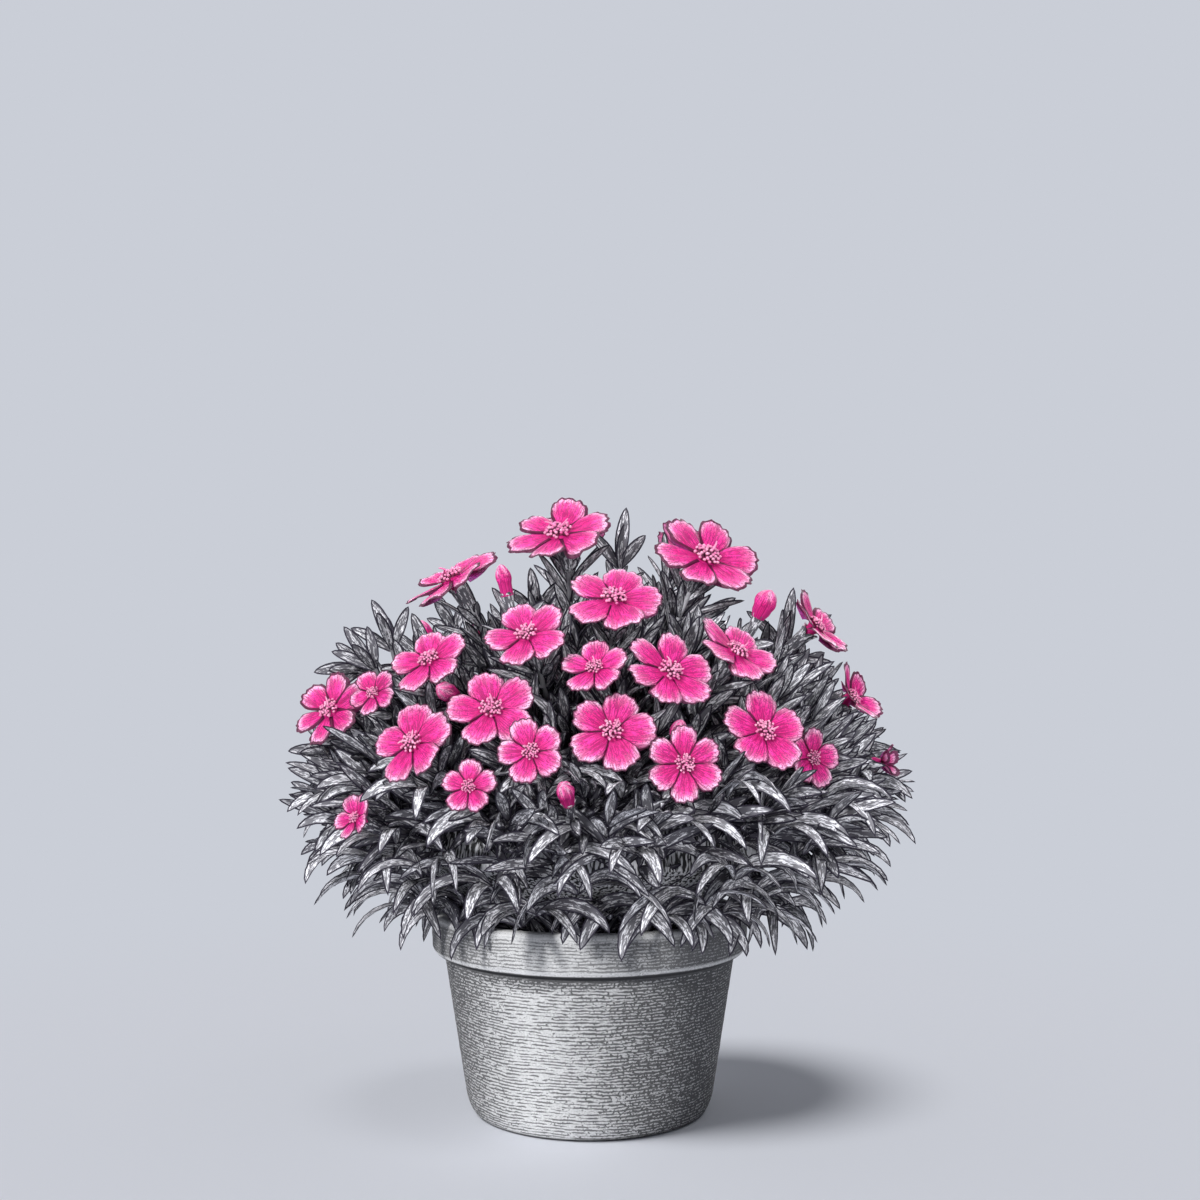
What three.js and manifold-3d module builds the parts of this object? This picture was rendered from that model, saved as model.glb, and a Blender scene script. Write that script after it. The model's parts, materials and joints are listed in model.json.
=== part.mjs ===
// A potted dianthus (garden pink): a round clay pot with a rolled collar, its soil, a dense dome of
// narrow arching leaves, and pink five-petalled blooms with toothed edges on slender stalks.
// Millimetres, +Z up, the origin at the centre of the pot's underside, and the front facing -Y.
// A bearing is measured round the pot's axis from the front, positive towards +X.

import * as THREE from "three";
import { mergeVertices } from "three/addons/utils/BufferGeometryUtils.js";
import Module from "manifold-3d";

const wasm = await Module();
wasm.setup();

const TURN = 2 * Math.PI;
const rad = THREE.MathUtils.degToRad;
const UP = new THREE.Vector3(0, 0, 1);

// ---- driving dimensions -------------------------------------------------------------------------

const GAP = 0.3; // between pieces that rest on each other
// How far leaves keep from a bloom's face, its back, its neck, and from the pot.
const CLEAR = { face: 1.3, back: 2.4, neck: 2, pot: 1.8 };

const POT = {
  height: 81,
  rimRadius: 65,
  rimInnerRadius: 58.5,
  collarHeight: 16.5,
  bodyTopRadius: 60,
  footRadius: 46.5,
  footEdge: 3,
  wall: 5.5,
  floor: 7,
  sides: 36,
};
const DRAIN = { count: 4, radius: 4, ring: 28, sides: 8 };
const SOIL = { edgeHeight: 68, crownHeight: 71, sides: 20 };
const CROWN = { footRadius: 15.5, footHeight: 58, sides: 14 };

// The dense heart of the bush, as a crumpled dome of revolution that the leaves stand out of.
const HEART = { height: 112, radius: 87, rise: 91, crumple: 0.06 };
// The dome that the blooms lie on.
const DOME = { height: 105, radius: 118, rise: 138 };

const LEAN = 0.04; // how much further the leaves reach to the right than to the left
const LEAF = { width: 6.8, thickness: 1.2 };
const SHOOTS = { count: 46, leaves: 6, lowestPolar: 98, rootShare: 0.82, spacing: 5 };
// Rings of long leaves that arch over the rim and hang outside it, from the lowest ring upwards.
const SKIRTS = [
  { count: 22, radius: 40, height: 84, rise: 40, length: 50, tipHeight: 77 },
  { count: 24, radius: 50, height: 92, rise: 30, length: 54, tipHeight: 83 },
  { count: 24, radius: 58, height: 101, rise: 24, length: 56, tipHeight: 95 },
];
// No leaf tip hangs lower than this: level near the pot, then rising outwards.
const HEM = { height: 72, radius: 88, slope: 1.1 };
const STALK = { radius: 1.1, sides: 4 };
const SPRIG = { sunk: 3, share: 0.55 }; // how deep its leaves start, and how thick its stem ends
const CALYX = { length: 13, baseRadius: 2.3, mouthRadius: 2.9 };
const PETAL = { clawDepth: 1.9, neckDepth: 4.5, neckRadius: 2.4 };

// Each bloom: bearing and height of its centre on the dome, how far it stands off the dome, its
// diameter, the bearing and elevation that its face looks in, its turn, its cup and its petals.
const BLOOMS = [
  { at: [-18, 233], off: 0, size: 41, face: [-18, 50], turn: 8, cup: 0.14, petals: 6 },
  { at: [50, 224], off: 0, size: 42, face: [24, 43], turn: 20, cup: 0.14, petals: 6 },
  { at: [-47, 214], off: 1, size: 39, face: [-60, 57], turn: 0, cup: 0.12, petals: 6 },
  { at: [6, 204], off: 2, size: 36, face: [2, 46], turn: 0, cup: 0.12, petals: 5 },
  { at: [-14, 191], off: 2, size: 33, face: [-20, 43], turn: 30, cup: 0.14, petals: 5 },
  { at: [1, 181], off: -1, size: 26, face: [-20, 42], turn: 8, cup: 0.2, petals: 5 },
  { at: [16, 179], off: 2, size: 33, face: [24, 34], turn: 30, cup: 0.12, petals: 6 },
  { at: [33, 185], off: 2, size: 34, face: [42, 47], turn: 10, cup: 0.16, petals: 5 },
  { at: [78, 194], off: 6, size: 33, face: [62, 38], turn: 0, cup: 0.2, petals: 5 },
  { at: [80, 167], off: 5, size: 27, face: [62, 30], turn: 20, cup: 0.35, petals: 5 },
  { at: [-36, 182], off: 2, size: 31, face: [-30, 44], turn: 14, cup: 0.14, petals: 5 },
  { at: [-69, 163], off: 2, size: 34, face: [-32, 29], turn: 0, cup: 0.14, petals: 6 },
  { at: [-56, 173], off: -4, size: 21, face: [-26, 26], turn: 30, cup: 0.16, petals: 5 },
  { at: [-34, 153], off: 2, size: 33, face: [-30, 26], turn: 4, cup: 0.12, petals: 5 },
  { at: [-19, 166], off: 0, size: 34, face: [-8, 36], turn: 28, cup: 0.12, petals: 5 },
  { at: [-10, 150], off: 5, size: 25, face: [-4, 22], turn: 34, cup: 0.18, petals: 5 },
  { at: [-21, 139], off: 2, size: 21, face: [-14, 24], turn: 6, cup: 0.14, petals: 5 },
  { at: [4, 159], off: -1, size: 33, face: [0, 28], turn: 0, cup: 0.12, petals: 5 },
  { at: [16, 146], off: 5, size: 28, face: [8, 14], turn: 36, cup: 0.14, petals: 6 },
  { at: [34, 157], off: 2, size: 33, face: [20, 28], turn: 30, cup: 0.12, petals: 5 },
  { at: [48, 148], off: -2, size: 24, face: [30, 14], turn: 34, cup: 0.14, petals: 5 },
  { at: [-47, 126], off: 0, size: 19, face: [-42, 24], turn: 10, cup: 0.3, petals: 5 },
  { at: [80, 141], off: 5, size: 13, face: [82, 8], turn: 0, cup: 1, petals: 5 },
  { at: [200, 238], off: 0, size: 36, face: [190, 64], turn: 12, cup: 0.14, petals: 5 },
  { at: [126, 229], off: 5, size: 34, face: [128, 52], turn: 0, cup: 0.14, petals: 5 },
  { at: [174, 196], off: 1, size: 35, face: [176, 42], turn: 24, cup: 0.14, petals: 5 },
  { at: [148, 188], off: 1, size: 33, face: [144, 36], turn: 30, cup: 0.12, petals: 5 },
  { at: [-148, 190], off: 1, size: 34, face: [-152, 38], turn: 6, cup: 0.12, petals: 6 },
  { at: [-122, 166], off: 2, size: 31, face: [-118, 26], turn: 18, cup: 0.12, petals: 5 },
  { at: [118, 164], off: 2, size: 31, face: [114, 28], turn: 10, cup: 0.14, petals: 5 },
  { at: [-163, 163], off: 1, size: 30, face: [-160, 22], turn: 30, cup: 0.14, petals: 5 },
  { at: [166, 162], off: 1, size: 30, face: [168, 24], turn: 4, cup: 0.12, petals: 5 },
  { at: [140, 150], off: 2, size: 29, face: [138, 16], turn: 26, cup: 0.12, petals: 5 },
  { at: [-140, 145], off: 2, size: 30, face: [-138, 16], turn: 14, cup: 0.12, petals: 6 },
  { at: [-178, 141], off: 3, size: 25, face: [-176, 12], turn: 32, cup: 0.16, petals: 5 },
  { at: [104, 131], off: 2, size: 22, face: [102, 12], turn: 8, cup: 0.18, petals: 5 },
];
// Closed buds: bearing and height on the dome, stand-off, length, width and the way they point.
const BUDS = [
  { at: [-24, 210], off: 2, length: 9, width: 6, face: [-60, 76] },
  { at: [51, 202], off: 2, length: 9, width: 9, face: [70, 62] },
  { at: [-4, 137], off: 1, length: 8, width: 6.5, face: [-10, 40] },
  { at: [-128, 192], off: 3, length: 12, width: 7, face: [-132, 54] },
  { at: [152, 130], off: 3, length: 11, width: 8, face: [150, 24] },
  { at: [-31, 174], off: -5, length: 12, width: 7, face: [-20, 14] },
  { at: [17, 159], off: -5, length: 9, width: 6, face: [16, 46] },
];

// Leafy shoots that rise clear of the dome: bearing, radius and height of the fork below their top
// leaves, the bearing and elevation that they point in, and the length and width of their leaves.
const SPRIGS = [
  { fork: [50, 16, 224], points: [90, 86], length: 23, width: 7 },
  { fork: [-76, 83, 190], points: [-90, 76], length: 20, width: 6.5 },
  { fork: [-75, 91, 182], points: [-90, 58], length: 19, width: 6.5 },
  { fork: [-80, 96, 180], points: [-90, 14], length: 18, width: 6.5 },
  { fork: [-40, 34, 205], points: [-90, 86], length: 16, width: 6 },
  { fork: [62, 38, 202], points: [-90, 84], length: 19, width: 6 },
  { fork: [72, 45, 199], points: [90, 38], length: 20, width: 6 },
  { fork: [96, 84, 190], points: [90, 88], length: 25, width: 6.5 },
  { fork: [98, 88, 178], points: [90, 40], length: 16, width: 8 },
  { fork: [99, 94, 168], points: [90, 52], length: 18, width: 7 },
  { fork: [84, 106, 147], points: [90, 48], length: 17, width: 6.5 },
  { fork: [96, 109, 147], points: [90, 12], length: 24, width: 6 },
  { fork: [-80, 105, 146], points: [-90, 20], length: 19, width: 6.5 },
  { fork: [178, 62, 206], points: [180, 70], length: 22, width: 6.5 },
  { fork: [-128, 78, 198], points: [-128, 60], length: 20, width: 6.5 },
  { fork: [128, 92, 180], points: [128, 50], length: 20, width: 6.5 },
];

// ---- small helpers ------------------------------------------------------------------------------

// A repeatable draw between 0 and 1 for a whole-number seed.
function draw(seed) {
  const wave = Math.sin(seed * 127.1 + 311.7) * 43758.5453;
  return wave - Math.floor(wave);
}

// The unit vector at a bearing and an elevation above the horizontal, both in degrees.
function heading(bearing, elevation) {
  const b = rad(bearing);
  const e = rad(elevation);
  return new THREE.Vector3(Math.sin(b) * Math.cos(e), -Math.cos(b) * Math.cos(e), Math.sin(e));
}

// The point of a dome of revolution at a bearing and a height, moved outwards by off.
function onDome(dome, [bearing, height], off) {
  const climb = (height - dome.height) / dome.rise;
  const radius = dome.radius * Math.sqrt(Math.max(0, 1 - climb * climb));
  const point = heading(bearing, 0).multiplyScalar(radius).setZ(height);
  const outward = point.clone().sub(new THREE.Vector3(0, 0, dome.height)).normalize();
  return point.addScaledVector(outward, off);
}

function geometryOf(points, faces) {
  const geometry = new THREE.BufferGeometry();
  const position = points.flatMap((p) => [p.x, p.y, p.z]);
  geometry.setAttribute("position", new THREE.Float32BufferAttribute(position, 3));
  geometry.setIndex(faces.flat());
  return geometry;
}

function solidOf(geometry) {
  const bare = geometry.clone();
  bare.deleteAttribute("normal");
  bare.deleteAttribute("uv");
  const merged = mergeVertices(bare, 1e-4);
  return new wasm.Manifold(
    new wasm.Mesh({
      numProp: 3,
      vertProperties: merged.attributes.position.array,
      triVerts: new Uint32Array(merged.index.array),
    }),
  );
}

function geometryFrom(solid) {
  const { vertProperties, triVerts } = solid.getMesh();
  const geometry = new THREE.BufferGeometry();
  geometry.setAttribute("position", new THREE.BufferAttribute(vertProperties, 3));
  geometry.setIndex(new THREE.BufferAttribute(triVerts, 1));
  geometry.computeVertexNormals();
  return geometry;
}

// The largest body of a solid, without scraps and without hollows that joining has sealed.
function largestBody(solid) {
  const bodies = solid.decompose();
  bodies.sort((a, b) => b.volume() - a.volume());
  return bodies[0];
}

// A solid of revolution about Z from [radius, height] pairs, outside upwards and inside downwards.
function turned(profile, sides) {
  const points = profile.map(([r, z]) => new THREE.Vector2(r, z));
  return new THREE.LatheGeometry(points, sides).rotateX(Math.PI / 2);
}

// Faces between two rings of the same size, the second one further along the skin.
function band(first, second, count) {
  const faces = [];
  for (let i = 0; i < count; i++) {
    const next = (i + 1) % count;
    faces.push([first + i, first + next, second + next]);
    faces.push([first + i, second + next, second + i]);
  }
  return faces;
}

// ---- pot and soil -------------------------------------------------------------------------------

function innerRadius(height) {
  const top = POT.bodyTopRadius - POT.wall + 2;
  const bottom = POT.footRadius - POT.wall + 3;
  return bottom + ((top - bottom) * (height - POT.floor)) / (POT.height - POT.floor);
}

function pot() {
  const { height, rimRadius, rimInnerRadius, footRadius, footEdge } = POT;
  const collarFoot = height - POT.collarHeight;
  const body = turned(
    [
      [0, 0],
      [footRadius, 0],
      [footRadius + footEdge, footEdge],
      [POT.bodyTopRadius, collarFoot],
      [rimRadius - 1.4, collarFoot + 1.2],
      [rimRadius, collarFoot + 5],
      [rimRadius, height - 3],
      [rimRadius - 1.8, height],
      [rimInnerRadius, height],
      [innerRadius(height - 4), height - 4],
      [innerRadius(POT.floor), POT.floor],
      [0, POT.floor],
    ],
    POT.sides,
  );
  let solid = solidOf(body);
  for (let i = 0; i < DRAIN.count; i++) {
    const drill = new THREE.CylinderGeometry(DRAIN.radius, DRAIN.radius, 3 * POT.floor, DRAIN.sides);
    const angle = ((i + 0.5) / DRAIN.count) * TURN;
    drill.rotateX(Math.PI / 2);
    drill.translate(DRAIN.ring * Math.cos(angle), DRAIN.ring * Math.sin(angle), POT.floor / 2);
    solid = solid.subtract(solidOf(drill));
  }
  return geometryFrom(solid);
}

// The soil fills the pot to a little under the rim, with a plain hole that the crown stands in.
function soil() {
  const wallSlack = GAP + innerRadius(SOIL.edgeHeight) * (1 - Math.cos(Math.PI / POT.sides));
  const bottom = POT.floor + GAP;
  const hole = CROWN.footRadius / Math.cos(Math.PI / SOIL.sides) + GAP;
  return turned(
    [
      [0, bottom],
      [innerRadius(bottom) - wallSlack, bottom],
      [innerRadius(SOIL.edgeHeight) - wallSlack, SOIL.edgeHeight],
      [(innerRadius(SOIL.edgeHeight) + hole) / 2, SOIL.edgeHeight + 2.2],
      [hole, SOIL.crownHeight],
      [hole, CROWN.footHeight - GAP],
      [0, CROWN.footHeight - GAP],
    ],
    SOIL.sides,
  );
}

// ---- blooms and buds ----------------------------------------------------------------------------

// The outline of one petal as [share of its half-angle, share of its length], from notch to notch.
const WIDE_PETAL = [
  [-1, 0.36],
  [-0.94, 0.7],
  [-0.8, 0.88],
  [-0.6, 0.985],
  [-0.41, 0.935],
  [-0.2, 1],
  [0.02, 0.94],
  [0.23, 1],
  [0.43, 0.935],
  [0.61, 0.98],
  [0.81, 0.87],
  [0.94, 0.68],
];
const SMALL_PETAL = [
  [-1, 0.36],
  [-0.92, 0.76],
  [-0.62, 0.97],
  [-0.3, 0.92],
  [0.02, 1],
  [0.32, 0.92],
  [0.62, 0.96],
  [0.92, 0.74],
];
const SMALL_BLOOM = 25;

// One corolla, looking along +Z, with its throat at the origin and a short neck behind it. Its
// petals are thickest at their claws and taper to the toothed edge, where both sides meet.
function corolla({ size, turn, cup, petals }, seed) {
  const outline = size < SMALL_BLOOM ? SMALL_PETAL : WIDE_PETAL;
  const teeth = outline.length;
  const half = TURN / petals / 2;
  const points = [];
  const place = (angle, radius, height) => {
    const around = rad(turn) + angle;
    points.push(new THREE.Vector3(radius * Math.cos(around), radius * Math.sin(around), height));
    return points.length - 1;
  };
  const ring = (radius, height) => {
    const first = points.length;
    for (let k = 0; k < petals; k++) place((2 * k - 1) * half, radius, height);
    return first;
  };
  const boss = place(0, 0, 0.11 * size);
  const throat = ring(0.12 * size, 0.25);
  const edge = points.length;
  for (let k = 0; k < petals; k++) {
    const reach = (size / 2) * (0.93 + 0.07 * draw(seed * 10 + k));
    const lift = 0.07 * size * (draw(seed * 10 + k + 0.5) - 0.5);
    for (const [side, share] of outline) {
      const height = cup * (size / 2) * share ** 1.5 + lift * share * share;
      place((2 * k + side) * half, share * reach, height);
    }
  }
  const claw = ring(0.1 * size, -PETAL.clawDepth);
  const neck = ring(PETAL.neckRadius, -PETAL.neckDepth);

  // One side of all the petals, from a ring at their feet out to the toothed edge.
  const blades = (feet) => {
    const faces = [];
    for (let k = 0; k < petals; k++) {
      const next = feet + ((k + 1) % petals);
      for (let j = 0; j < teeth; j++) {
        const from = edge + k * teeth + j;
        const to = edge + ((k * teeth + j + 1) % (petals * teeth));
        faces.push([j < teeth / 2 ? feet + k : next, from, to]);
      }
      faces.push([feet + k, edge + k * teeth + teeth / 2, next]);
    }
    return faces;
  };
  const faces = [...blades(throat), ...blades(claw).map(([a, b, c]) => [a, c, b])];
  for (let k = 0; k < petals; k++) faces.push([boss, throat + k, throat + ((k + 1) % petals)]);
  faces.push(...band(neck, claw, petals));
  for (let k = 1; k < petals - 1; k++) faces.push([neck, neck + k + 1, neck + k]);
  return geometryOf(points, faces);
}

// A closed bud, its petals furled to a point along +Z, on the same short neck as a corolla.
function furledBud({ length, width }) {
  const sides = 5;
  const levels = [
    [-PETAL.neckDepth, PETAL.neckRadius, 0],
    [0, width / 2, 0.2],
    [0.45 * length, 0.44 * width, 0.7],
  ];
  const points = levels.flatMap(([height, radius, twist]) =>
    Array.from({ length: sides }, (_, i) => {
      const angle = (i / sides) * TURN + twist;
      return new THREE.Vector3(radius * Math.cos(angle), radius * Math.sin(angle), height);
    }),
  );
  const tip = points.push(new THREE.Vector3(0, 0, 0.8 * length)) - 1;
  const faces = [...band(0, sides, sides), ...band(sides, 2 * sides, sides)];
  for (let i = 0; i < sides; i++) faces.push([2 * sides + i, 2 * sides + ((i + 1) % sides), tip]);
  for (let i = 1; i < sides - 1; i++) faces.push([0, i + 1, i]);
  return geometryOf(points, faces);
}

// Everything that a stalk carries: where it is, the way it looks, and the room that it takes up.
const HEADS = [...BLOOMS, ...BUDS].map((head) => {
  const normal = heading(...head.face);
  const radius = head.size ? head.size / 2 : head.width / 2;
  const depth = head.size ? head.cup * radius + 0.06 * head.size : head.length;
  return { ...head, centre: onDome(DOME, head.at, head.off), normal, radius, depth };
});

// True where a point is clear of every bloom and bud.
function clearOfHeads(point) {
  return HEADS.every(({ centre, normal, radius, depth }) => {
    const offset = point.clone().sub(centre);
    const height = offset.dot(normal);
    const across = Math.sqrt(Math.max(0, offset.lengthSq() - height * height));
    const beyondDisc =
      across > radius + CLEAR.face || height < -CLEAR.back || height > depth + CLEAR.face;
    const beyondNeck =
      across > PETAL.neckRadius + CLEAR.neck || height < -PETAL.neckDepth - 1 || height > 0;
    return beyondDisc && beyondNeck;
  });
}

// True where a point is clear of the pot.
function clearOfPot({ x, y, z }) {
  const radius = Math.hypot(x, y);
  return radius > POT.rimRadius + CLEAR.pot || z > POT.height + CLEAR.pot;
}

// ---- leaves -------------------------------------------------------------------------------------

// A leaf is an arched blade with a root, a first direction, the way across it, a length, a width
// and a sag. This is the middle of its upper face at a share t of its length.
function leafPoint({ root, way, length, sag }, t) {
  return root
    .clone()
    .addScaledVector(way, length * t)
    .addScaledVector(UP, -length * sag * t * t);
}

// A nearly straight blade is widest once, and an arched one keeps its width over a longer stretch.
function leafRings({ sag }) {
  return sag > 0.2 ? [[0.42, 1], [0.73, 0.84]] : [[0.52, 1]];
}

function leafHalfWidth(leaf, t) {
  const outline = [[0, 0], ...leafRings(leaf), [1, 0]];
  const next = outline.findIndex(([at], i) => i > 0 && t <= at + 1e-9);
  const [[t0, w0], [t1, w1]] = [outline[next - 1], outline[next]];
  return (leaf.width / 2) * (w0 + ((w1 - w0) * (t - t0)) / (t1 - t0));
}

// The solid blade, three-sided with its keel underneath: flat above, pointed at both ends, with
// the root end deep in the heart.
function leafSolid(leaf) {
  const points = [leaf.root];
  const rings = leafRings(leaf);
  for (const [t] of rings) {
    const centre = leafPoint(leaf, t);
    const along = leaf.way.clone().addScaledVector(UP, -2 * leaf.sag * t).normalize();
    const face = leaf.across.clone().cross(along).normalize();
    const half = leafHalfWidth(leaf, t);
    points.push(centre.clone().addScaledVector(leaf.across, -half));
    points.push(centre.clone().addScaledVector(leaf.across, half));
    points.push(centre.clone().addScaledVector(face, -LEAF.thickness));
  }
  points.push(leafPoint(leaf, 1));
  const tip = points.length - 1;
  const last = tip - 3;
  const faces = rings.length > 1 ? band(1, 4, 3) : [];
  for (let i = 0; i < 3; i++) {
    const next = (i + 1) % 3;
    faces.push([0, 1 + next, 1 + i]);
    faces.push([last + i, last + next, tip]);
  }
  return solidOf(geometryOf(points, faces));
}

// True where a leaf tip is no lower than leaves may hang.
function aboveHem({ x, y, z }) {
  return z > HEM.height + HEM.slope * Math.max(0, Math.hypot(x, y) - HEM.radius);
}

// True where the blade is clear of the pot and of everything pink, and doesn't hang too low.
function leafIsClear(leaf) {
  if (!aboveHem(leafPoint(leaf, 1))) return false;
  for (let t = 0.2; t <= 1.001; t += 0.1) {
    const centre = leafPoint(leaf, t);
    const half = leafHalfWidth(leaf, t);
    for (const side of [-half, 0, half]) {
      const point = centre.clone().addScaledVector(leaf.across, side);
      if (!clearOfHeads(point) || !clearOfPot(point)) return false;
    }
  }
  return true;
}

// Points along the middle of the blade where it stands free, for keeping leaves apart.
function freeStretch(leaf) {
  return [0.4, 0.52, 0.64, 0.76, 0.88, 1].map((t) => leafPoint(leaf, t));
}

function clearOfLeaves(leaf, placed) {
  const near = SHOOTS.spacing ** 2;
  const stretch = freeStretch(leaf);
  const isFar = (point) => stretch.every((own) => own.distanceToSquared(point) > near);
  return placed.every((other) => other.free.every(isFar));
}

// The leaves that are placed already, with each new one as it is or, where something is in its way,
// bent aside or shorter. A leaf that fits nowhere is left out.
function fitted(leaves, ready) {
  const placed = [...ready];
  for (const leaf of leaves) {
    const tries = [1, 0.86, 0.72].flatMap((share) =>
      [0, 0.2, -0.2, 0.45, -0.45].flatMap((swing) =>
        [1, 0.5].map((slack) => {
          const way = leaf.way.clone().addScaledVector(leaf.across, swing).normalize();
          const across = leaf.across.clone().addScaledVector(way, -leaf.across.dot(way)).normalize();
          return { ...leaf, way, across, length: leaf.length * share, sag: leaf.sag * slack };
        }),
      ),
    );
    const found = tries.find((tried) => leafIsClear(tried) && clearOfLeaves(tried, placed));
    if (found) placed.push({ ...found, free: freeStretch(found) });
  }
  return placed;
}

function sprigFork({ fork: [bearing, radius, height] }) {
  return heading(bearing, 0).multiplyScalar(radius).setZ(height);
}

// The leaves at the top of a sprig: one straight on, a pair that opens to its sides as seen from
// the front, and a pair that opens to the front and the back.
function sprigLeaves(sprig, number) {
  const axis = heading(...sprig.points);
  const front = heading(0, 0);
  const side = front.clone().cross(axis).normalize();
  const root = sprigFork(sprig).addScaledVector(axis, -SPRIG.sunk);
  return [0, 1, 2, 3, 4].map((k) => {
    const seed = 900 + 10 * number + k;
    const open = k === 0 ? 0 : rad(24 + 16 * draw(seed));
    const towards = (k > 2 ? front : side).clone().multiplyScalar(k % 2 ? -1 : 1);
    const way = axis.clone().multiplyScalar(Math.cos(open)).addScaledVector(towards, Math.sin(open));
    return {
      root,
      way,
      across: k > 2 ? side : front.clone().cross(way).normalize(),
      length: SPRIG.sunk + sprig.length * (k === 0 ? 1 : 0.65 + 0.25 * draw(seed + 0.5)),
      width: sprig.width * (k === 0 ? 1 : 0.85),
      sag: 0.1 * Math.cos(rad(sprig.points[1])),
    };
  });
}

// Shoots are spread evenly over the heart by the golden angle, from the top down to the skirts.
function shootLeaves() {
  const golden = Math.PI * (3 - Math.sqrt(5));
  const lowest = Math.cos(rad(SHOOTS.lowestPolar));
  const leaves = [];
  for (let i = 0; i < SHOOTS.count; i++) {
    const polar = Math.acos(1 - ((1 - lowest) * (i + 0.5)) / SHOOTS.count);
    const low = Math.min(1, polar / rad(95)); // 0 at the top of the bush, 1 round its sides
    const out = new THREE.Vector3(
      Math.sin(polar) * Math.cos(i * golden),
      Math.sin(polar) * Math.sin(i * golden),
      Math.cos(polar),
    );
    const reach = 1 + LEAN * out.x;
    const root = new THREE.Vector3(HEART.radius * out.x, HEART.radius * out.y, HEART.rise * out.z)
      .multiplyScalar(SHOOTS.rootShare * reach)
      .addScaledVector(UP, HEART.height);
    const axis = out.clone().addScaledVector(UP, 0.3).normalize();
    const side = UP.clone().cross(out).normalize();
    const over = axis.clone().cross(side).normalize();
    for (let k = 0; k < SHOOTS.leaves; k++) {
      const seed = 10 * i + k;
      const round = ((k + 0.5 * draw(seed)) / SHOOTS.leaves) * TURN + i;
      const tilt = rad(22 + 26 * draw(seed + 0.3) + 14 * low * low);
      const radial = side
        .clone()
        .multiplyScalar(Math.cos(round))
        .addScaledVector(over, Math.sin(round));
      const way = axis.clone().multiplyScalar(Math.cos(tilt)).addScaledVector(radial, Math.sin(tilt));
      leaves.push({
        root,
        way,
        across: way.clone().cross(axis).normalize(),
        length: reach * (44 + 10 * low + 7 * draw(seed + 0.6)),
        width: LEAF.width * (0.85 + 0.3 * draw(seed + 0.9)),
        sag: 0.08 + 0.34 * low * low,
      });
    }
  }
  return leaves;
}

// One skirt: a ring of leaves that come up inside the rim, arch over it and hang down outside.
function skirtLeaves({ count, radius, height, rise, length, tipHeight }, tier) {
  const leaves = [];
  for (let i = 0; i < count; i++) {
    const seed = 500 + 100 * tier + i;
    const bearing = ((i + 0.5 * tier + 0.4 * draw(seed)) / count) * 360;
    const out = heading(bearing, 0);
    const way = heading(bearing + 34 * (draw(seed + 0.2) - 0.5), rise + 10 * draw(seed + 0.4));
    const side = out.clone().cross(UP);
    const reach = length * (1 + LEAN * out.x) * (0.88 + 0.24 * draw(seed + 0.6));
    leaves.push({
      root: out.multiplyScalar(radius * (1 + LEAN * out.x)).setZ(height),
      way,
      across: side.addScaledVector(way, -side.dot(way)).normalize(),
      length: reach,
      width: LEAF.width * (0.9 + 0.2 * draw(seed + 0.8)),
      sag: way.z + (height - tipHeight - 8 * draw(seed + 0.9)) / reach,
    });
  }
  return leaves;
}

// ---- bush ---------------------------------------------------------------------------------------

// The heart, from its foot in the soil up over the rim of the pot to the top of the dome. Above
// the rim its corners are moved in and out, so that it looks like massed foliage between leaves.
function heart() {
  const profile = [
    [0, CROWN.footHeight],
    [CROWN.footRadius, CROWN.footHeight],
    [CROWN.footRadius, SOIL.crownHeight + 2],
    [38, 78],
    [52, 85],
    [66, 94],
  ];
  const steps = 6;
  for (let i = 0; i <= steps; i++) {
    const polar = rad(94) * (1 - i / steps);
    profile.push([
      i === steps ? 0 : HEART.radius * Math.sin(polar),
      HEART.height + HEART.rise * Math.cos(polar),
    ]);
  }
  const skin = turned(profile, CROWN.sides);
  skin.deleteAttribute("normal");
  skin.deleteAttribute("uv");
  const merged = mergeVertices(skin, 1e-4);
  const corners = merged.attributes.position;
  const middle = new THREE.Vector3(0, 0, HEART.height);
  for (let i = 0; i < corners.count; i++) {
    const corner = new THREE.Vector3().fromBufferAttribute(corners, i);
    if (corner.z < POT.height + 12) continue;
    const share = 1 + HEART.crumple * (2 * draw(i + 0.1) - 1);
    corner.sub(middle).multiplyScalar(share).add(middle);
    corners.setXYZ(i, corner.x, corner.y, corner.z);
  }
  return solidOf(merged);
}

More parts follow.
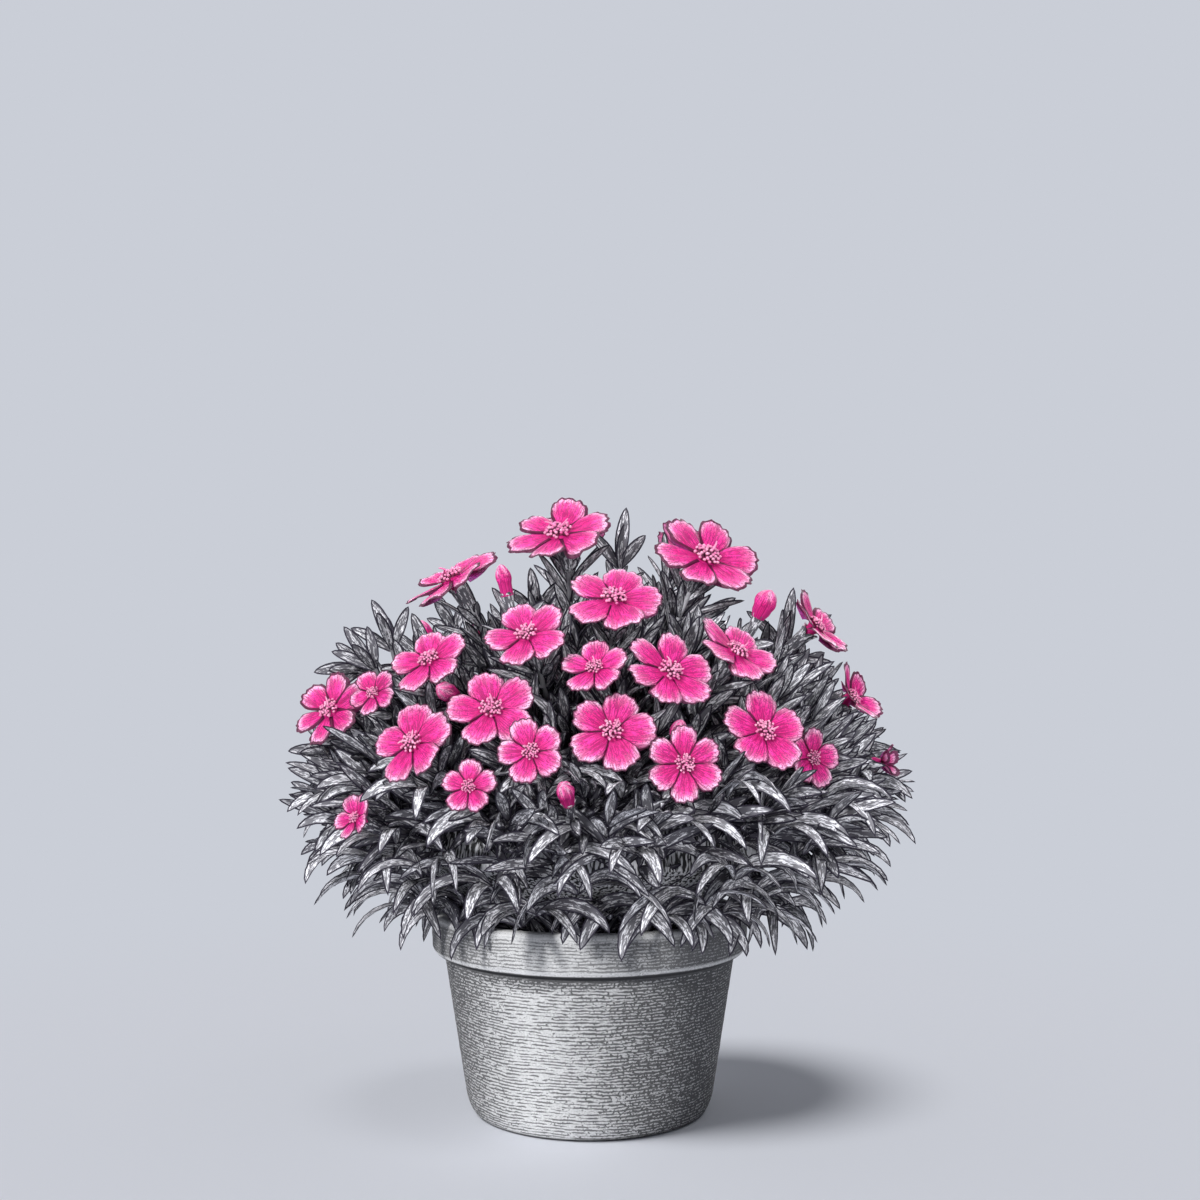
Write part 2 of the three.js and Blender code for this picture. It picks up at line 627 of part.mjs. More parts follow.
// A stalk that leaves the heart and swells below its mouth, where it looks along a normal. The
// calyx of a large bloom has a share of 1, and the plain end of a sprig's stem has a small one.
function stalk(mouth, normal, share) {
  const base = mouth.clone().addScaledVector(normal, -CALYX.length * share);
  const middle = new THREE.Vector3(0, 0, HEART.height);
  const inward = middle.clone().sub(base);
  const flat = new THREE.Vector3(
    inward.x / HEART.radius,
    inward.y / HEART.radius,
    inward.z / HEART.rise,
  );
  const root = base.clone().addScaledVector(inward, 1 - 0.92 / flat.length());
  const levels = [
    [root, STALK.radius],
    [base.clone().lerp(root, 0.16), STALK.radius],
    [base, CALYX.baseRadius * share],
    [mouth, CALYX.mouthRadius * share],
  ];
  const points = levels.flatMap(([at, r], i) => {
    const along = i === 0 ? base.clone().sub(root).normalize() : normal;
    const side = new THREE.Vector3(0.31, 0.17, 0.42).cross(along).normalize();
    const over = along.clone().cross(side);
    return Array.from({ length: STALK.sides }, (_, k) => {
      const angle = (k / STALK.sides) * TURN;
      return at
        .clone()
        .addScaledVector(side, r * Math.cos(angle))
        .addScaledVector(over, r * Math.sin(angle));
    });
  });
  const n = STALK.sides;
  const faces = [];
  for (let i = 0; i < levels.length - 1; i++) faces.push(...band(i * n, (i + 1) * n, n));
  for (let i = 1; i < n - 1; i++) {
    faces.push([0, i + 1, i]);
    faces.push([3 * n, 3 * n + i, 3 * n + i + 1]);
  }
  return solidOf(geometryOf(points, faces));
}

// The stalk of a bloom or bud ends just behind its neck.
function headStalk({ centre, normal, radius }) {
  const mouth = centre.clone().addScaledVector(normal, -PETAL.neckDepth - GAP);
  return stalk(mouth, normal, Math.min(1, 0.55 + radius / 40));
}

function sprigStem(sprig) {
  return stalk(sprigFork(sprig), heading(...sprig.points), SPRIG.share);
}

function bush() {
  const topLeaves = SPRIGS.flatMap(sprigLeaves)
    .filter(leafIsClear)
    .map((leaf) => ({ ...leaf, free: freeStretch(leaf) }));
  const leaves = fitted([...SKIRTS.flatMap(skirtLeaves), ...shootLeaves()], topLeaves);
  const stalks = [...HEADS.map(headStalk), ...SPRIGS.map(sprigStem)];
  return geometryFrom(
    largestBody(wasm.Manifold.union([heart(), ...stalks, ...leaves.map(leafSolid)])),
  );
}

// ---- the plant ----------------------------------------------------------------------------------

const CLAY = new THREE.MeshStandardMaterial({ color: 0xb4b7ba, roughness: 0.85 });
const EARTH = new THREE.MeshStandardMaterial({ color: 0x2c2a2c, roughness: 1 });
const FOLIAGE = new THREE.MeshStandardMaterial({ color: 0x77797f, roughness: 0.75 });
const PINK = new THREE.MeshStandardMaterial({ color: 0xf2479f, roughness: 0.6 });

function piece(name, geometry, material) {
  const mesh = new THREE.Mesh(geometry, material);
  mesh.name = name;
  return mesh;
}

const plant = new THREE.Group();
plant.add(piece("pot", pot(), CLAY));
plant.add(piece("soil", soil(), EARTH));
plant.add(piece("leafy_bush", bush(), FOLIAGE));
HEADS.forEach((head, i) => {
  const open = i < BLOOMS.length;
  const number = String(open ? i + 1 : i + 1 - BLOOMS.length).padStart(2, "0");
  const mesh = open
    ? piece(`bloom_${number}`, corolla(head, i + 1), PINK)
    : piece(`bud_${number}`, furledBud(head), PINK);
  mesh.position.copy(head.centre);
  mesh.quaternion.setFromUnitVectors(UP, head.normal);
  plant.add(mesh);
});

export default plant;
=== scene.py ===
"""A potted dianthus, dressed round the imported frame. Lengths are in millimetres until a mesh is made,
+Z is up, the front faces -Y, and a bearing is measured round the pot from the front towards +X."""

import json
import math

import bpy
import numpy as np
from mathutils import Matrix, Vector

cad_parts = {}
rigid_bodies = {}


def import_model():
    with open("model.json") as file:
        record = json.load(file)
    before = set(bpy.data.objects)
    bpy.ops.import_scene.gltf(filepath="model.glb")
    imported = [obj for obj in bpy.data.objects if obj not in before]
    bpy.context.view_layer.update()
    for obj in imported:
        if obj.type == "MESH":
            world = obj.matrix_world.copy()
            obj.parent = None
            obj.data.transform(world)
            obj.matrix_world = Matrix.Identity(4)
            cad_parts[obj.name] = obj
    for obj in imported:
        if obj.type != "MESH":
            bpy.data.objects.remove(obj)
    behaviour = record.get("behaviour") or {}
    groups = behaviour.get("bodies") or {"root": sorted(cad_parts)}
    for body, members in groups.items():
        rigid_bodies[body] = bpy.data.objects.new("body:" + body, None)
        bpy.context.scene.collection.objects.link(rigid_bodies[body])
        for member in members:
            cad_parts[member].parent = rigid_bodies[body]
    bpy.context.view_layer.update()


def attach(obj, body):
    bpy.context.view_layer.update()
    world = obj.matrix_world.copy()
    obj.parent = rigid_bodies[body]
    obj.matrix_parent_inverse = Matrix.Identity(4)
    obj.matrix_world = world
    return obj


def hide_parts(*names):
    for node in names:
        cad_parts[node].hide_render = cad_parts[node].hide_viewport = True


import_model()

MM = 0.001
UP = np.array([0.0, 0.0, 1.0])
GOLDEN_ANGLE = math.pi * (3 - math.sqrt(5))


# ---- the object's dimensions --------------------------------------------------------------------

POT = {"height": 81, "radius": 65, "collar": 65, "floor": 7}  # collar: the height of its lower edge
DRAIN = {"count": 4, "radius": 4, "ring": 28}
SOIL = {"edge": 68, "rise": 3.4, "radius": 55.3}  # its height at the wall and its rise to the middle

LEAN = 0.04  # how much further the leaves reach to the right than to the left
HEART = {"height": 112, "radius": 87, "rise": 91}  # the stalks start inside it
CORE = {"height": 108, "radius": 76, "rise": 84}  # mass of stems behind the leaves, near black as painted shade
ENVELOPE = {"height": 112, "radius": 129, "rise": 100, "taper": 0.83}  # where most leaf tips end
DOME = {"height": 105, "radius": 118, "rise": 138}  # where the blooms lie

PETAL_NECK = {"depth": 4.5, "radius": 2.4}
CALYX = {"length": 13, "base": 2.3, "mouth": 2.9}
STALK_RADIUS = 1.0

# Bearing and height on the dome, stand-off, diameter, bearing and elevation of the face, turn in
# degrees, cup and number of petals of each bloom.
BLOOMS = [
    (-16, 233, 0, 43, -18, 50, 8, 0.14, 6),
    (50, 224, 0, 45, 24, 43, 20, 0.14, 6),
    (-47, 214, 1, 42, -60, 55, 0, 0.12, 6),
    (6, 204, 2, 38, 2, 48, 0, 0.12, 5),
    (-14, 191, 2, 33, -20, 43, 30, 0.14, 5),
    (1, 181, -1, 26, -20, 42, 8, 0.2, 5),
    (16, 178, 2, 35, 24, 36, 30, 0.12, 6),
    (33, 185, 2, 34, 42, 47, 10, 0.16, 5),
    (78, 194, 5, 33, 62, 38, 0, 0.28, 5),
    (80, 167, 3, 28, 60, 30, 20, 0.46, 5),
    (-36, 182, 2, 32, -30, 44, 14, 0.14, 5),
    (-69, 163, 2, 34, -32, 29, 0, 0.14, 6),
    (-56, 173, -4, 21, -26, 26, 30, 0.16, 5),
    (-34, 153, 2, 33, -30, 26, 4, 0.12, 5),
    (-19, 166, 0, 34, -8, 36, 28, 0.12, 5),
    (-10, 150, 5, 25, -4, 22, 34, 0.18, 5),
    (-21, 139, 2, 21, -14, 24, 6, 0.14, 5),
    (4, 159, -1, 33, 0, 28, 0, 0.12, 5),
    (16, 146, 5, 28, 8, 14, 36, 0.14, 6),
    (34, 157, 2, 33, 20, 28, 30, 0.12, 5),
    (48, 148, -2, 24, 30, 14, 34, 0.14, 5),
    (-47, 126, 0, 19, -42, 24, 10, 0.3, 5),
    (78, 141, 6, 14, 62, 8, 0, 0.9, 5),
    (200, 238, 0, 36, 190, 64, 12, 0.14, 5),
    (126, 229, 5, 34, 128, 52, 0, 0.14, 5),
    (174, 196, 1, 35, 176, 42, 24, 0.14, 5),
    (148, 188, 1, 33, 144, 36, 30, 0.12, 5),
    (-148, 190, 1, 34, -152, 38, 6, 0.12, 6),
    (-122, 166, 2, 31, -118, 26, 18, 0.12, 5),
    (118, 164, 2, 31, 114, 28, 10, 0.14, 5),
    (-163, 163, 1, 30, -160, 22, 30, 0.14, 5),
    (166, 162, 1, 30, 168, 24, 4, 0.12, 5),
    (140, 150, 2, 29, 138, 16, 26, 0.12, 5),
    (-140, 145, 2, 30, -138, 16, 14, 0.12, 6),
    (-178, 141, 3, 25, -176, 12, 32, 0.16, 5),
    (104, 131, 2, 22, 102, 12, 8, 0.18, 5),
]
OUTLINED = {1, 2, 3, 9, 10, 12, 23}  # blooms with a wider dark outline
# Bearing and height on the dome, stand-off, length, width, and bearing and elevation of each bud.
BUDS = [
    (-24, 210, 2, 9, 6, -60, 76),
    (51, 202, 2, 9, 9, 70, 62),
    (-4, 137, 1, 8, 6.5, -10, 40),
    (-128, 192, 3, 12, 7, -132, 54),
    (152, 130, 3, 11, 8, 150, 24),
    (-31, 174, -5, 12, 7, -20, 14),
    (17, 159, -5, 9, 6, 16, 46),
]

# Leafy shoots that rise clear of the dome: bearing, radius and height of the fork below their top
# leaves, the bearing and elevation that they point in, and the length and width of their leaves.
SPRIGS = [
    (50, 16, 224, 90, 86, 23, 7),
    (-76, 83, 190, -90, 76, 20, 6.5),
    (-75, 91, 182, -90, 58, 19, 6.5),
    (-80, 96, 180, -90, 14, 18, 6.5),
    (-40, 34, 205, -90, 86, 16, 6),
    (62, 38, 202, -90, 84, 19, 6),
    (72, 45, 199, 90, 38, 20, 6),
    (96, 84, 190, 90, 88, 25, 6.5),
    (98, 88, 178, 90, 40, 16, 8),
    (99, 94, 168, 90, 52, 18, 7),
    (84, 106, 147, 90, 48, 17, 6.5),
    (96, 109, 147, 90, 12, 24, 6),
    (-80, 105, 146, -90, 20, 19, 6.5),
    (-115, 79, 184, -90, 82, 22, 7.5),
    (178, 62, 206, 180, 70, 22, 6.5),
    (-128, 78, 198, -128, 60, 20, 6.5),
    (128, 92, 180, 128, 50, 20, 6.5),
]
SPRIG = {"sunk": 3, "share": 0.55}  # how deep its leaves start, and how thick its stem ends


# ---- small helpers ------------------------------------------------------------------------------


def draw(seed):
    """A repeatable draw between 0 and 1, the same as in the part's source."""
    wave = math.sin(seed * 127.1 + 311.7) * 43758.5453
    return wave - math.floor(wave)


def unit(vectors):
    return vectors / np.linalg.norm(vectors, axis=-1, keepdims=True)


def vectors(x, y, z):
    """Vectors from three numbers or arrays that broadcast together."""
    return np.stack(np.broadcast_arrays(x, y, z), -1)


def heading(bearing, elevation):
    """Unit vectors at bearings and elevations in degrees."""
    b, e = np.radians(bearing), np.radians(elevation)
    return vectors(np.sin(b) * np.cos(e), -np.cos(b) * np.cos(e), np.sin(e))


def about(side, over, angle):
    """Directions in the plane of two unit vectors, at angles in radians from the first."""
    return side * np.cos(angle)[..., None] + over * np.sin(angle)[..., None]


def radius_of(points):
    """How far points are from the pot's axis."""
    return np.hypot(points[..., 0], points[..., 1])


def half_axes(dome):
    return np.array([dome["radius"], dome["radius"], dome["rise"]])


def on_dome(bearing, height, off):
    """A point of the dome that the blooms lie on, moved outwards."""
    climb = (height - DOME["height"]) / DOME["rise"]
    radius = DOME["radius"] * math.sqrt(max(0, 1 - climb * climb))
    point = heading(bearing, 0) * radius + UP * height
    return point + off * unit(point - UP * DOME["height"])


def turn_to(normal):
    """The smallest turn that takes +Z to a direction, as a matrix for row vectors."""
    axis = np.cross(UP, normal)
    cross = np.array([[0, -axis[2], axis[1]], [axis[2], 0, -axis[0]], [-axis[1], axis[0], 0]])
    return (np.eye(3) + cross + cross @ cross / (1 + normal[2])).T


def smooth_step(low, high, value):
    share = np.clip((value - low) / (high - low), 0, 1)
    return share * share * (3 - 2 * share)


class Mesh:
    """Gathers closed shells, with two vectors and a material index on them, for one piece."""

    def __init__(self):
        self.points, self.marks, self.shapes, self.faces, self.total = [], [], [], [], 0

    def add(self, points, faces, mark=(0, 0, 0), shape=(0, 0, 0), finish=0):
        """Points, marks and shapes are arrays of vectors. Faces are arrays of 3 or 4 corners each."""
        for kept, given in ((self.points, points), (self.marks, mark), (self.shapes, shape)):
            kept.append(np.broadcast_to(given, points.shape).reshape(-1, 3))
        for corners in faces:
            self.faces.append((np.asarray(corners) + self.total, finish))
        self.total += len(self.points[-1])

    def build(self, name, materials, nodes, sharp=50):
        """Makes the object, which rides on the root body and stands for CAD nodes. Its edges are
        smooth up to an angle in degrees."""
        counts = np.concatenate([np.full(len(f), f.shape[1]) for f, _ in self.faces])
        finishes = np.concatenate([np.full(len(f), finish) for f, finish in self.faces])
        corners = np.concatenate([f.ravel() for f, _ in self.faces])
        mesh = bpy.data.meshes.new(name)
        mesh.vertices.add(self.total)
        mesh.vertices.foreach_set("co", (np.concatenate(self.points) * MM).astype(np.float32).ravel())
        mesh.loops.add(len(corners))
        mesh.loops.foreach_set("vertex_index", corners.astype(np.int32))
        mesh.polygons.add(len(counts))
        mesh.polygons.foreach_set("loop_start", (np.cumsum(counts) - counts).astype(np.int32))
        mesh.polygons.foreach_set("material_index", finishes.astype(np.int32))
        for label, parts in (("mark", self.marks), ("shape", self.shapes)):
            attribute = mesh.attributes.new(label, "FLOAT_VECTOR", "POINT")
            attribute.data.foreach_set("vector", np.concatenate(parts).astype(np.float32).ravel())
        mesh.update(calc_edges=True)
        mesh.validate()
        mesh.shade_smooth()
        mesh.set_sharp_from_angle(angle=math.radians(sharp))
        piece = bpy.data.objects.new(name, mesh)
        bpy.context.scene.collection.objects.link(piece)
        for material in materials:
            mesh.materials.append(material)
        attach(piece, "root")
        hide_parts(*nodes)
        return piece


def rings(count, around):
    """Quads between rings of points that follow each other, outside first."""
    ring, step = np.meshgrid(np.arange(count - 1) * around, np.arange(around), indexing="ij")
    here, beside = ring + step, ring + (step + 1) % around
    return np.stack([here, beside, beside + around, here + around], -1).reshape(-1, 4)


def fan(centre, start, around, flip=False):
    """Triangles from one point to a ring."""
    step = np.arange(around)
    faces = np.stack([step * 0 + centre, start + step, start + (step + 1) % around], -1)
    return faces[:, ::-1] if flip else faces


def capped(count, around):
    """Faces of a closed tube of rings, whose first and last points come after the rings."""
    end = count * around
    return [rings(count, around), fan(end, 0, around, flip=True), fan(end + 1, end - around, around)]


def lathe(profile, around):
    """A closed solid of revolution from radius and height pairs, its first and last on the axis."""
    profile = np.asarray(profile, dtype=float)
    angle = np.arange(around) / around * 2 * math.pi
    radius, height = profile[1:-1, :1], profile[1:-1, 1:]
    points = vectors(radius * np.cos(angle), radius * np.sin(angle), height)
    ends = vectors(0, 0, profile[[0, -1], 1])
    return np.concatenate([points.reshape(-1, 3), ends]), capped(len(profile) - 2, around)


def rounded(profile, steps=5):
    """A profile of radius, height and rounding, with each corner turned into an arc."""
    corners = np.array([p[:2] for p in profile], dtype=float)
    out = [corners[0]]
    for before, corner, after, row in zip(corners, corners[1:], corners[2:], profile[1:]):
        to_before, to_after = unit(before - corner), unit(after - corner)
        start, end = corner + to_before * row[2], corner + to_after * row[2]
        for share in np.linspace(0, 1, steps):
            out.append((1 - share) ** 2 * start + 2 * share * (1 - share) * corner + share**2 * end)
    out.append(corners[-1])
    return out


def ripple(points, scale, seed):
    """Smooth repeatable noise from -1 to 1 at points, from waves in many directions."""
    rng = np.random.default_rng(seed)
    total = np.zeros(len(points))
    for _ in range(14):
        way = unit(rng.normal(size=3)) * scale * rng.uniform(0.6, 1.6)
        total += np.sin(points @ way + rng.uniform(0, 2 * math.pi))
    return total / 5


# ---- materials ----------------------------------------------------------------------------------


def node(tree, kind, inputs, output=0, **settings):
    """Adds a node and returns one of its outputs. Each input is a plain value or a Field."""
    item = tree.nodes.new(kind)
    for key, value in settings.items():
        setattr(item, key, value)
    for key, value in inputs.items():
        if isinstance(value, Field):
            tree.links.new(value.socket, item.inputs[key])
        else:
            item.inputs[key].default_value = value
    return Field(item.outputs[output])


class Field:
    """A number, vector or colour that varies over a surface, as the output of a node."""

    def __init__(self, socket):
        self.socket = socket
        self.tree = socket.id_data

    def maths(self, operation, *values):
        return node(self.tree, "ShaderNodeMath", dict(enumerate((self, *values))), operation=operation)

    def __add__(self, other):
        return self.maths("ADD", other)

    def __sub__(self, other):
        return self.maths("SUBTRACT", other)

    def __mul__(self, other):
        return self.maths("MULTIPLY", other)

    def band(self, low, high, start=0, end=1):
        """A smooth change from a start to an end as the number goes from low to high."""
        limits = {0: self, 1: low, 2: high, 3: start, 4: end}
        return node(self.tree, "ShaderNodeMapRange", limits, interpolation_type="SMOOTHSTEP")

    def random(self):
        """A number from 0 to 1 for each value."""
        return node(self.tree, "ShaderNodeTexWhiteNoise", {"W": self}, noise_dimensions="1D")

    def scaled(self, scale):
        """A vector that is multiplied by a different number each way."""
        return node(self.tree, "ShaderNodeVectorMath", {0: self, 1: scale}, operation="MULTIPLY")

    def noise(self, scale=(1, 1, 1), detail=2.0):
        inputs = {"Vector": self.scaled(scale), "Scale": 1.0, "Detail": detail}
        return node(self.tree, "ShaderNodeTexNoise", inputs)

    def split(self):
        """The three numbers of a vector."""
        parts = node(self.tree, "ShaderNodeSeparateXYZ", {0: self}).socket.node.outputs
        return [Field(part) for part in parts]


def greatest(first, *others):
    for other in others:
        first = first.maths("MAXIMUM", other)
    return first


def mixed(share, first, second):
    """The first colour where the share is 0, and the second where it is 1."""
    inputs = {0: share, 6: first, 7: second}
    return node(share.tree, "ShaderNodeMix", inputs, output=2, data_type="RGBA")


def attribute(tree, name):
    return node(tree, "ShaderNodeAttribute", {}, output="Vector", attribute_name=name)


def object_place(tree):
    """Places on the object, in millimetres."""
    return node(tree, "ShaderNodeTexCoord", {}, output="Object").scaled((1 / MM, 1 / MM, 1 / MM))


def start_material(name, roughness, specular):
    """A new material, its node tree and the inputs of its shader."""
    material = bpy.data.materials.new(name)
    material.use_nodes = True
    shader = material.node_tree.nodes["Principled BSDF"].inputs
    shader["Roughness"].default_value = roughness
    shader["Specular IOR Level"].default_value = specular
    return material, material.node_tree, shader


def finish_material(tree, shader, colour, relief=None, depth=0.0, strength=0.0):
    """Gives the shader its colour and, from a relief, bumps of a depth in millimetres."""
    tree.links.new(colour.socket, shader["Base Color"])
    if relief is not None:
        inputs = {"Height": relief, "Distance": depth * MM, "Strength": strength}
        tree.links.new(node(tree, "ShaderNodeBump", inputs).socket, shader["Normal"])


def grey(value, blue=1.06):
    return (value, value, value * blue, 1)


# Dark ink for marks, also used as painted shade deep in the bush.
INK_AND_SHADE = (0.016, 0.013, 0.025, 1)
STROKE_PITCH = 1.25  # height between the strokes on the pot


def clay_material():
    """Broken level strokes on pale clay. Painted shade darkens the clay and makes the strokes heavier
    towards the pot's right side, its left edge and under the collar. A painted highlight makes a pale
    line on the rim and on the collar's foot, and a painted shadow a dark line under the collar."""
    material, tree, shader = start_material("grey_clay", 0.85, 0.2)
    place = object_place(tree)
    across, back, height = place.split()
    step = height - POT["collar"]  # from the step in the wall where the collar starts
    grain = place.noise((1.7, 1.7, 1.7), 1.0)

    # Painted shade: darker towards the pot's right side and back, towards its left edge, and under the
    # collar.
    painted_shade_to_right = across * 0.0155 - back * 0.004
    painted_shade_under_collar = step.band(-11, -2) * step.band(-0.4, 0.2, 1, 0)
    shade = greatest(
        (place.noise((0.024, 0.024, 0.04)) * 0.3 + painted_shade_to_right).band(-0.3, 1.3),
        across.band(-66, -14, 1, 0),
        painted_shade_under_collar * 0.8,
    )

    # Each stroke runs along one turn round the pot, and is as wide as the noise along that turn, and wider
    # where shade is painted.
    turns = place.noise((0.045, 0.045, 0.11)) * 2.2 + height * (1 / STROKE_PITCH)
    turns = place.noise((0.3, 0.3, 0.42), 1.0) * 0.6 + turns
    apart = turns.maths("FLOOR") * 5.3
    along = node(tree, "ShaderNodeCombineXYZ", {0: across * 0.23, 1: back * 0.23, 2: apart})
    beside = (turns.maths("FRACT") - 0.5).maths("ABSOLUTE")
    width = along.noise(detail=1.5) * 1.1 + (shade * 0.2 + -0.42)
    width = width.maths("MINIMUM", shade * 0.14 + 0.2)
    ragged = grain * 0.2 + (beside - width)
    strokes = ragged.band(0.04, 0.16, 1, 0) * (shade * 0.1 + 0.75)
    # Painted shade: dark worm marks, only where the painted shade is heavy.
    worms = (place.noise((1, 1, 1.4), 1.0) + shade * 0.3).band(0.71, 0.77, 0, 0.85)
    ink = greatest(strokes, worms) * step.band(0.5, 1.5, 1, 0.8)

    # Painted highlight: pale lines at the rim's top and at the collar's foot, with less ink on them.
    rim = (height - POT["height"]).band(-3.5, -1.5)
    lip = step.band(0.2, 0.7) * step.band(1.4, 2.4, 1, 0)
    edge = greatest(rim, lip)
    # Painted shadow: a dark line just under the collar.
    line = step.band(-3.4, -1.4) * step.band(0, 0.5, 1, 0)
    foot = height.band(0.2, 1.6, 0.8, 0)
    ink = greatest(ink * (edge * -0.8 + 1), line * 0.97, foot)
    colour = mixed(grain.band(0.35, 0.65), grey(0.66, 1), grey(0.88, 1))
    # Painted shade darkens the clay.
    colour = mixed(shade * 0.57, colour, grey(0.22))
    colour = mixed(edge * 0.6, colour, grey(0.9, 1))
    colour = mixed(ink, colour, grey(0.04))
    # Dark specks of grain, a little denser in the painted shade.
    colour = mixed((grain + shade * 0.06).band(0.64, 0.7, 0, 0.5), colour, grey(0.05))
    finish_material(tree, shader, colour, ragged, 0.3, 0.3)
    return material


def soil_material():
    """The marks say how pale a crumb is."""
    material, tree, shader = start_material("dark_compost", 0.95, 0.15)
    grain = object_place(tree).noise((0.6, 0.6, 0.6), 4.0)
    pale = attribute(tree, "mark").split()[0]
    colour = mixed(grain.band(0.35, 0.7), grey(0.012), (0.07, 0.062, 0.06, 1))
    colour = mixed(pale * 0.35, colour, grey(0.2))
    finish_material(tree, shader, colour, grain, 0.6, 0.8)
    return material


def leaf_material():
    """Marks are millimetres across and along the blade and a seed. Shapes are millimetres from the
    blade's edge, the share of its length, and how deep in the bush the point is. The depth darkens the
    blade as painted shade, the blade is painted darker towards its foot as shade, and pale painted
    glints lie along its hatching."""
    material, tree, shader = start_material("streaked_leaf", 0.8, 0.15)
    mark = attribute(tree, "mark")
    across, _, seed = mark.split()
    edge, along, deep = attribute(tree, "shape").split()
    hatch = mark.noise((1.5, 0.24, 1), 1.5)
    dots = mark.noise((2.9, 0.65, 1), 1.0)
    # Painted shade: strokes denser and darker deeper in the bush, and the blade darker towards its foot.
    strokes = greatest((deep * 0.08 + hatch).band(0.5, 0.55), dots.band(0.53, 0.57))
    rib = across.maths("ABSOLUTE").band(0.1, 0.3, 0.5, 0)
    foot = along.band(0, 0.2, 0.6, 0)
    ink = greatest(strokes * (deep * 0.15 + 0.76), rib, foot, edge.band(0.5, 0.8, 0.98, 0))
    colour = mixed(seed.random(), grey(0.58), grey(0.8))
    # Painted highlight: pale glints along the hatching.
    colour = mixed(hatch.band(0.38, 0.44, 0.55, 0), colour, grey(0.82))
    # Painted shade: the colour goes towards ink deeper in the bush.
    colour = mixed(deep * 0.4, mixed(ink, colour, INK_AND_SHADE), INK_AND_SHADE)
    finish_material(tree, shader, colour, hatch, 0.2, 0.4)
    return material


def core_material():
    """Pale upright streaks of stems on near black that is painted shade, the streaks fading towards the
    soil as painted shade and a little towards the top.
    """
    material, tree, shader = start_material("painted_shade_and_stems", 0.95, 0.1)
    place = object_place(tree)
    height = place.split()[2]
    streaks = place.noise((0.9, 0.9, 0.2))
    # Painted shade: the pale streaks fade out towards the soil.
    light = streaks.band(0.44, 0.56) * height.band(70, 100) * height.band(140, 180, 1, 0.65)
    finish_material(tree, shader, mixed(light, grey(0.03), grey(0.55)), streaks, 2, 0.8)
    return material


def petal_material():
    """Marks are millimetres across and out from the centre and a seed. Shapes are the distance
    from the petal's outline in millimetres, the share of the radius, and 1 on the back, which is
    painted a paler pink as light on the shaded underside."""
    material, tree, shader = start_material("pink_petal", 0.6, 0.2)
    mark = attribute(tree, "mark")
    margin, out, back = attribute(tree, "shape").split()
    streak = mark.noise((1.5, 0.13, 1))
    blotch = mark.noise((0.2, 0.2, 1))
    fine = mark.noise((3.2, 0.5, 1), 1.0)
    dots = mark.noise((2.2, 1.8, 1), 0.5)
    pale = (streak * 1.3 + out.band(0.3, 1.02, -0.62, 0.2)).band(0.3, 0.85)
    rim = margin.band(0.6, 2.5, 1, 0) * out.band(0.45, 0.8) * blotch.band(0.3, 0.7, 0.55, 1)
    lines = greatest(streak.band(0.5, 0.58), fine.band(0.54, 0.61)) * out.band(0.2, 0.95, 0.9, 0.6)
    colour = mixed(blotch.band(0.35, 0.65), (0.72, 0.018, 0.23, 1), (0.9, 0.045, 0.34, 1))
    for share, tint in (
        (pale, (0.98, 0.2, 0.46, 1)),
        (rim * 0.9, (1.0, 0.66, 0.86, 1)),
        (lines, (0.3, 0.006, 0.1, 1)),
        (dots.band(0.57, 0.63, 0, 0.65), (0.22, 0.02, 0.12, 1)),
        (out.band(0.2, 0.5, 0.7, 0), (0.4, 0.006, 0.12, 1)),
        # Painted light: the back is paler pink, standing in for light on the shaded underside.
        (back * 0.35, (0.9, 0.3, 0.55, 1)),
        (margin.band(0.25, 0.6, 0.92, 0), (0.05, 0.004, 0.022, 1)),
    ):
        colour = mixed(share, colour, tint)
    finish_material(tree, shader, colour, streak, 0.3, 0.35)
    shader["Subsurface Weight"].default_value = 0.35
    shader["Subsurface Radius"].default_value = (1.0, 0.4, 0.7)
    shader["Subsurface Scale"].default_value = 1.2 * MM
    return material


def tuft_material():
    """The seed is in the marks, and the shapes say how near a point is to an anther's foot, where the
    colour is painted darker as shade.
    """
    material, tree, shader = start_material("stamens", 0.6, 0.2)
    seed = attribute(tree, "mark").split()[2]
    low = attribute(tree, "shape").split()[0]
    colour = mixed(seed.random(), (0.7, 0.14, 0.36, 1), (0.9, 0.45, 0.62, 1))
    # Painted shade: darker towards the foot of each anther and on the filaments.
    colour = mixed(low.band(0.3, 0.7, 0, 0.9), colour, (0.12, 0.006, 0.04, 1))
    finish_material(tree, shader, colour)
    return material


# ---- pot and soil -------------------------------------------------------------------------------

# Radius, height and rounding of each corner of the pot's outline, from its underside to its floor.
POT_OUTLINE = [
    (0, 0.9, 0),
    (43.5, 0.9, 0.8),
    (44.2, 0, 0.3),
    (47.2, 0, 1.6),
    (50.2, 4.4, 3.6),
    (59.9, POT["collar"] - 0.7, 0.6),
    (62.6, POT["collar"] - 0.5, 1.1),
    (64.6, POT["collar"] + 1.2, 1.6),
    (POT["radius"], POT["collar"] + 5.5, 3.0),
    (POT["radius"], POT["height"] - 4.2, 2.2),
    (64.2, POT["height"] - 0.1, 1.8),
    (59.3, POT["height"], 1.5),
    (56.2, POT["height"] - 5.5, 2.5),
    (44.2, POT["floor"] + 0.2, 2.5),
    (0, POT["floor"], 0),
]


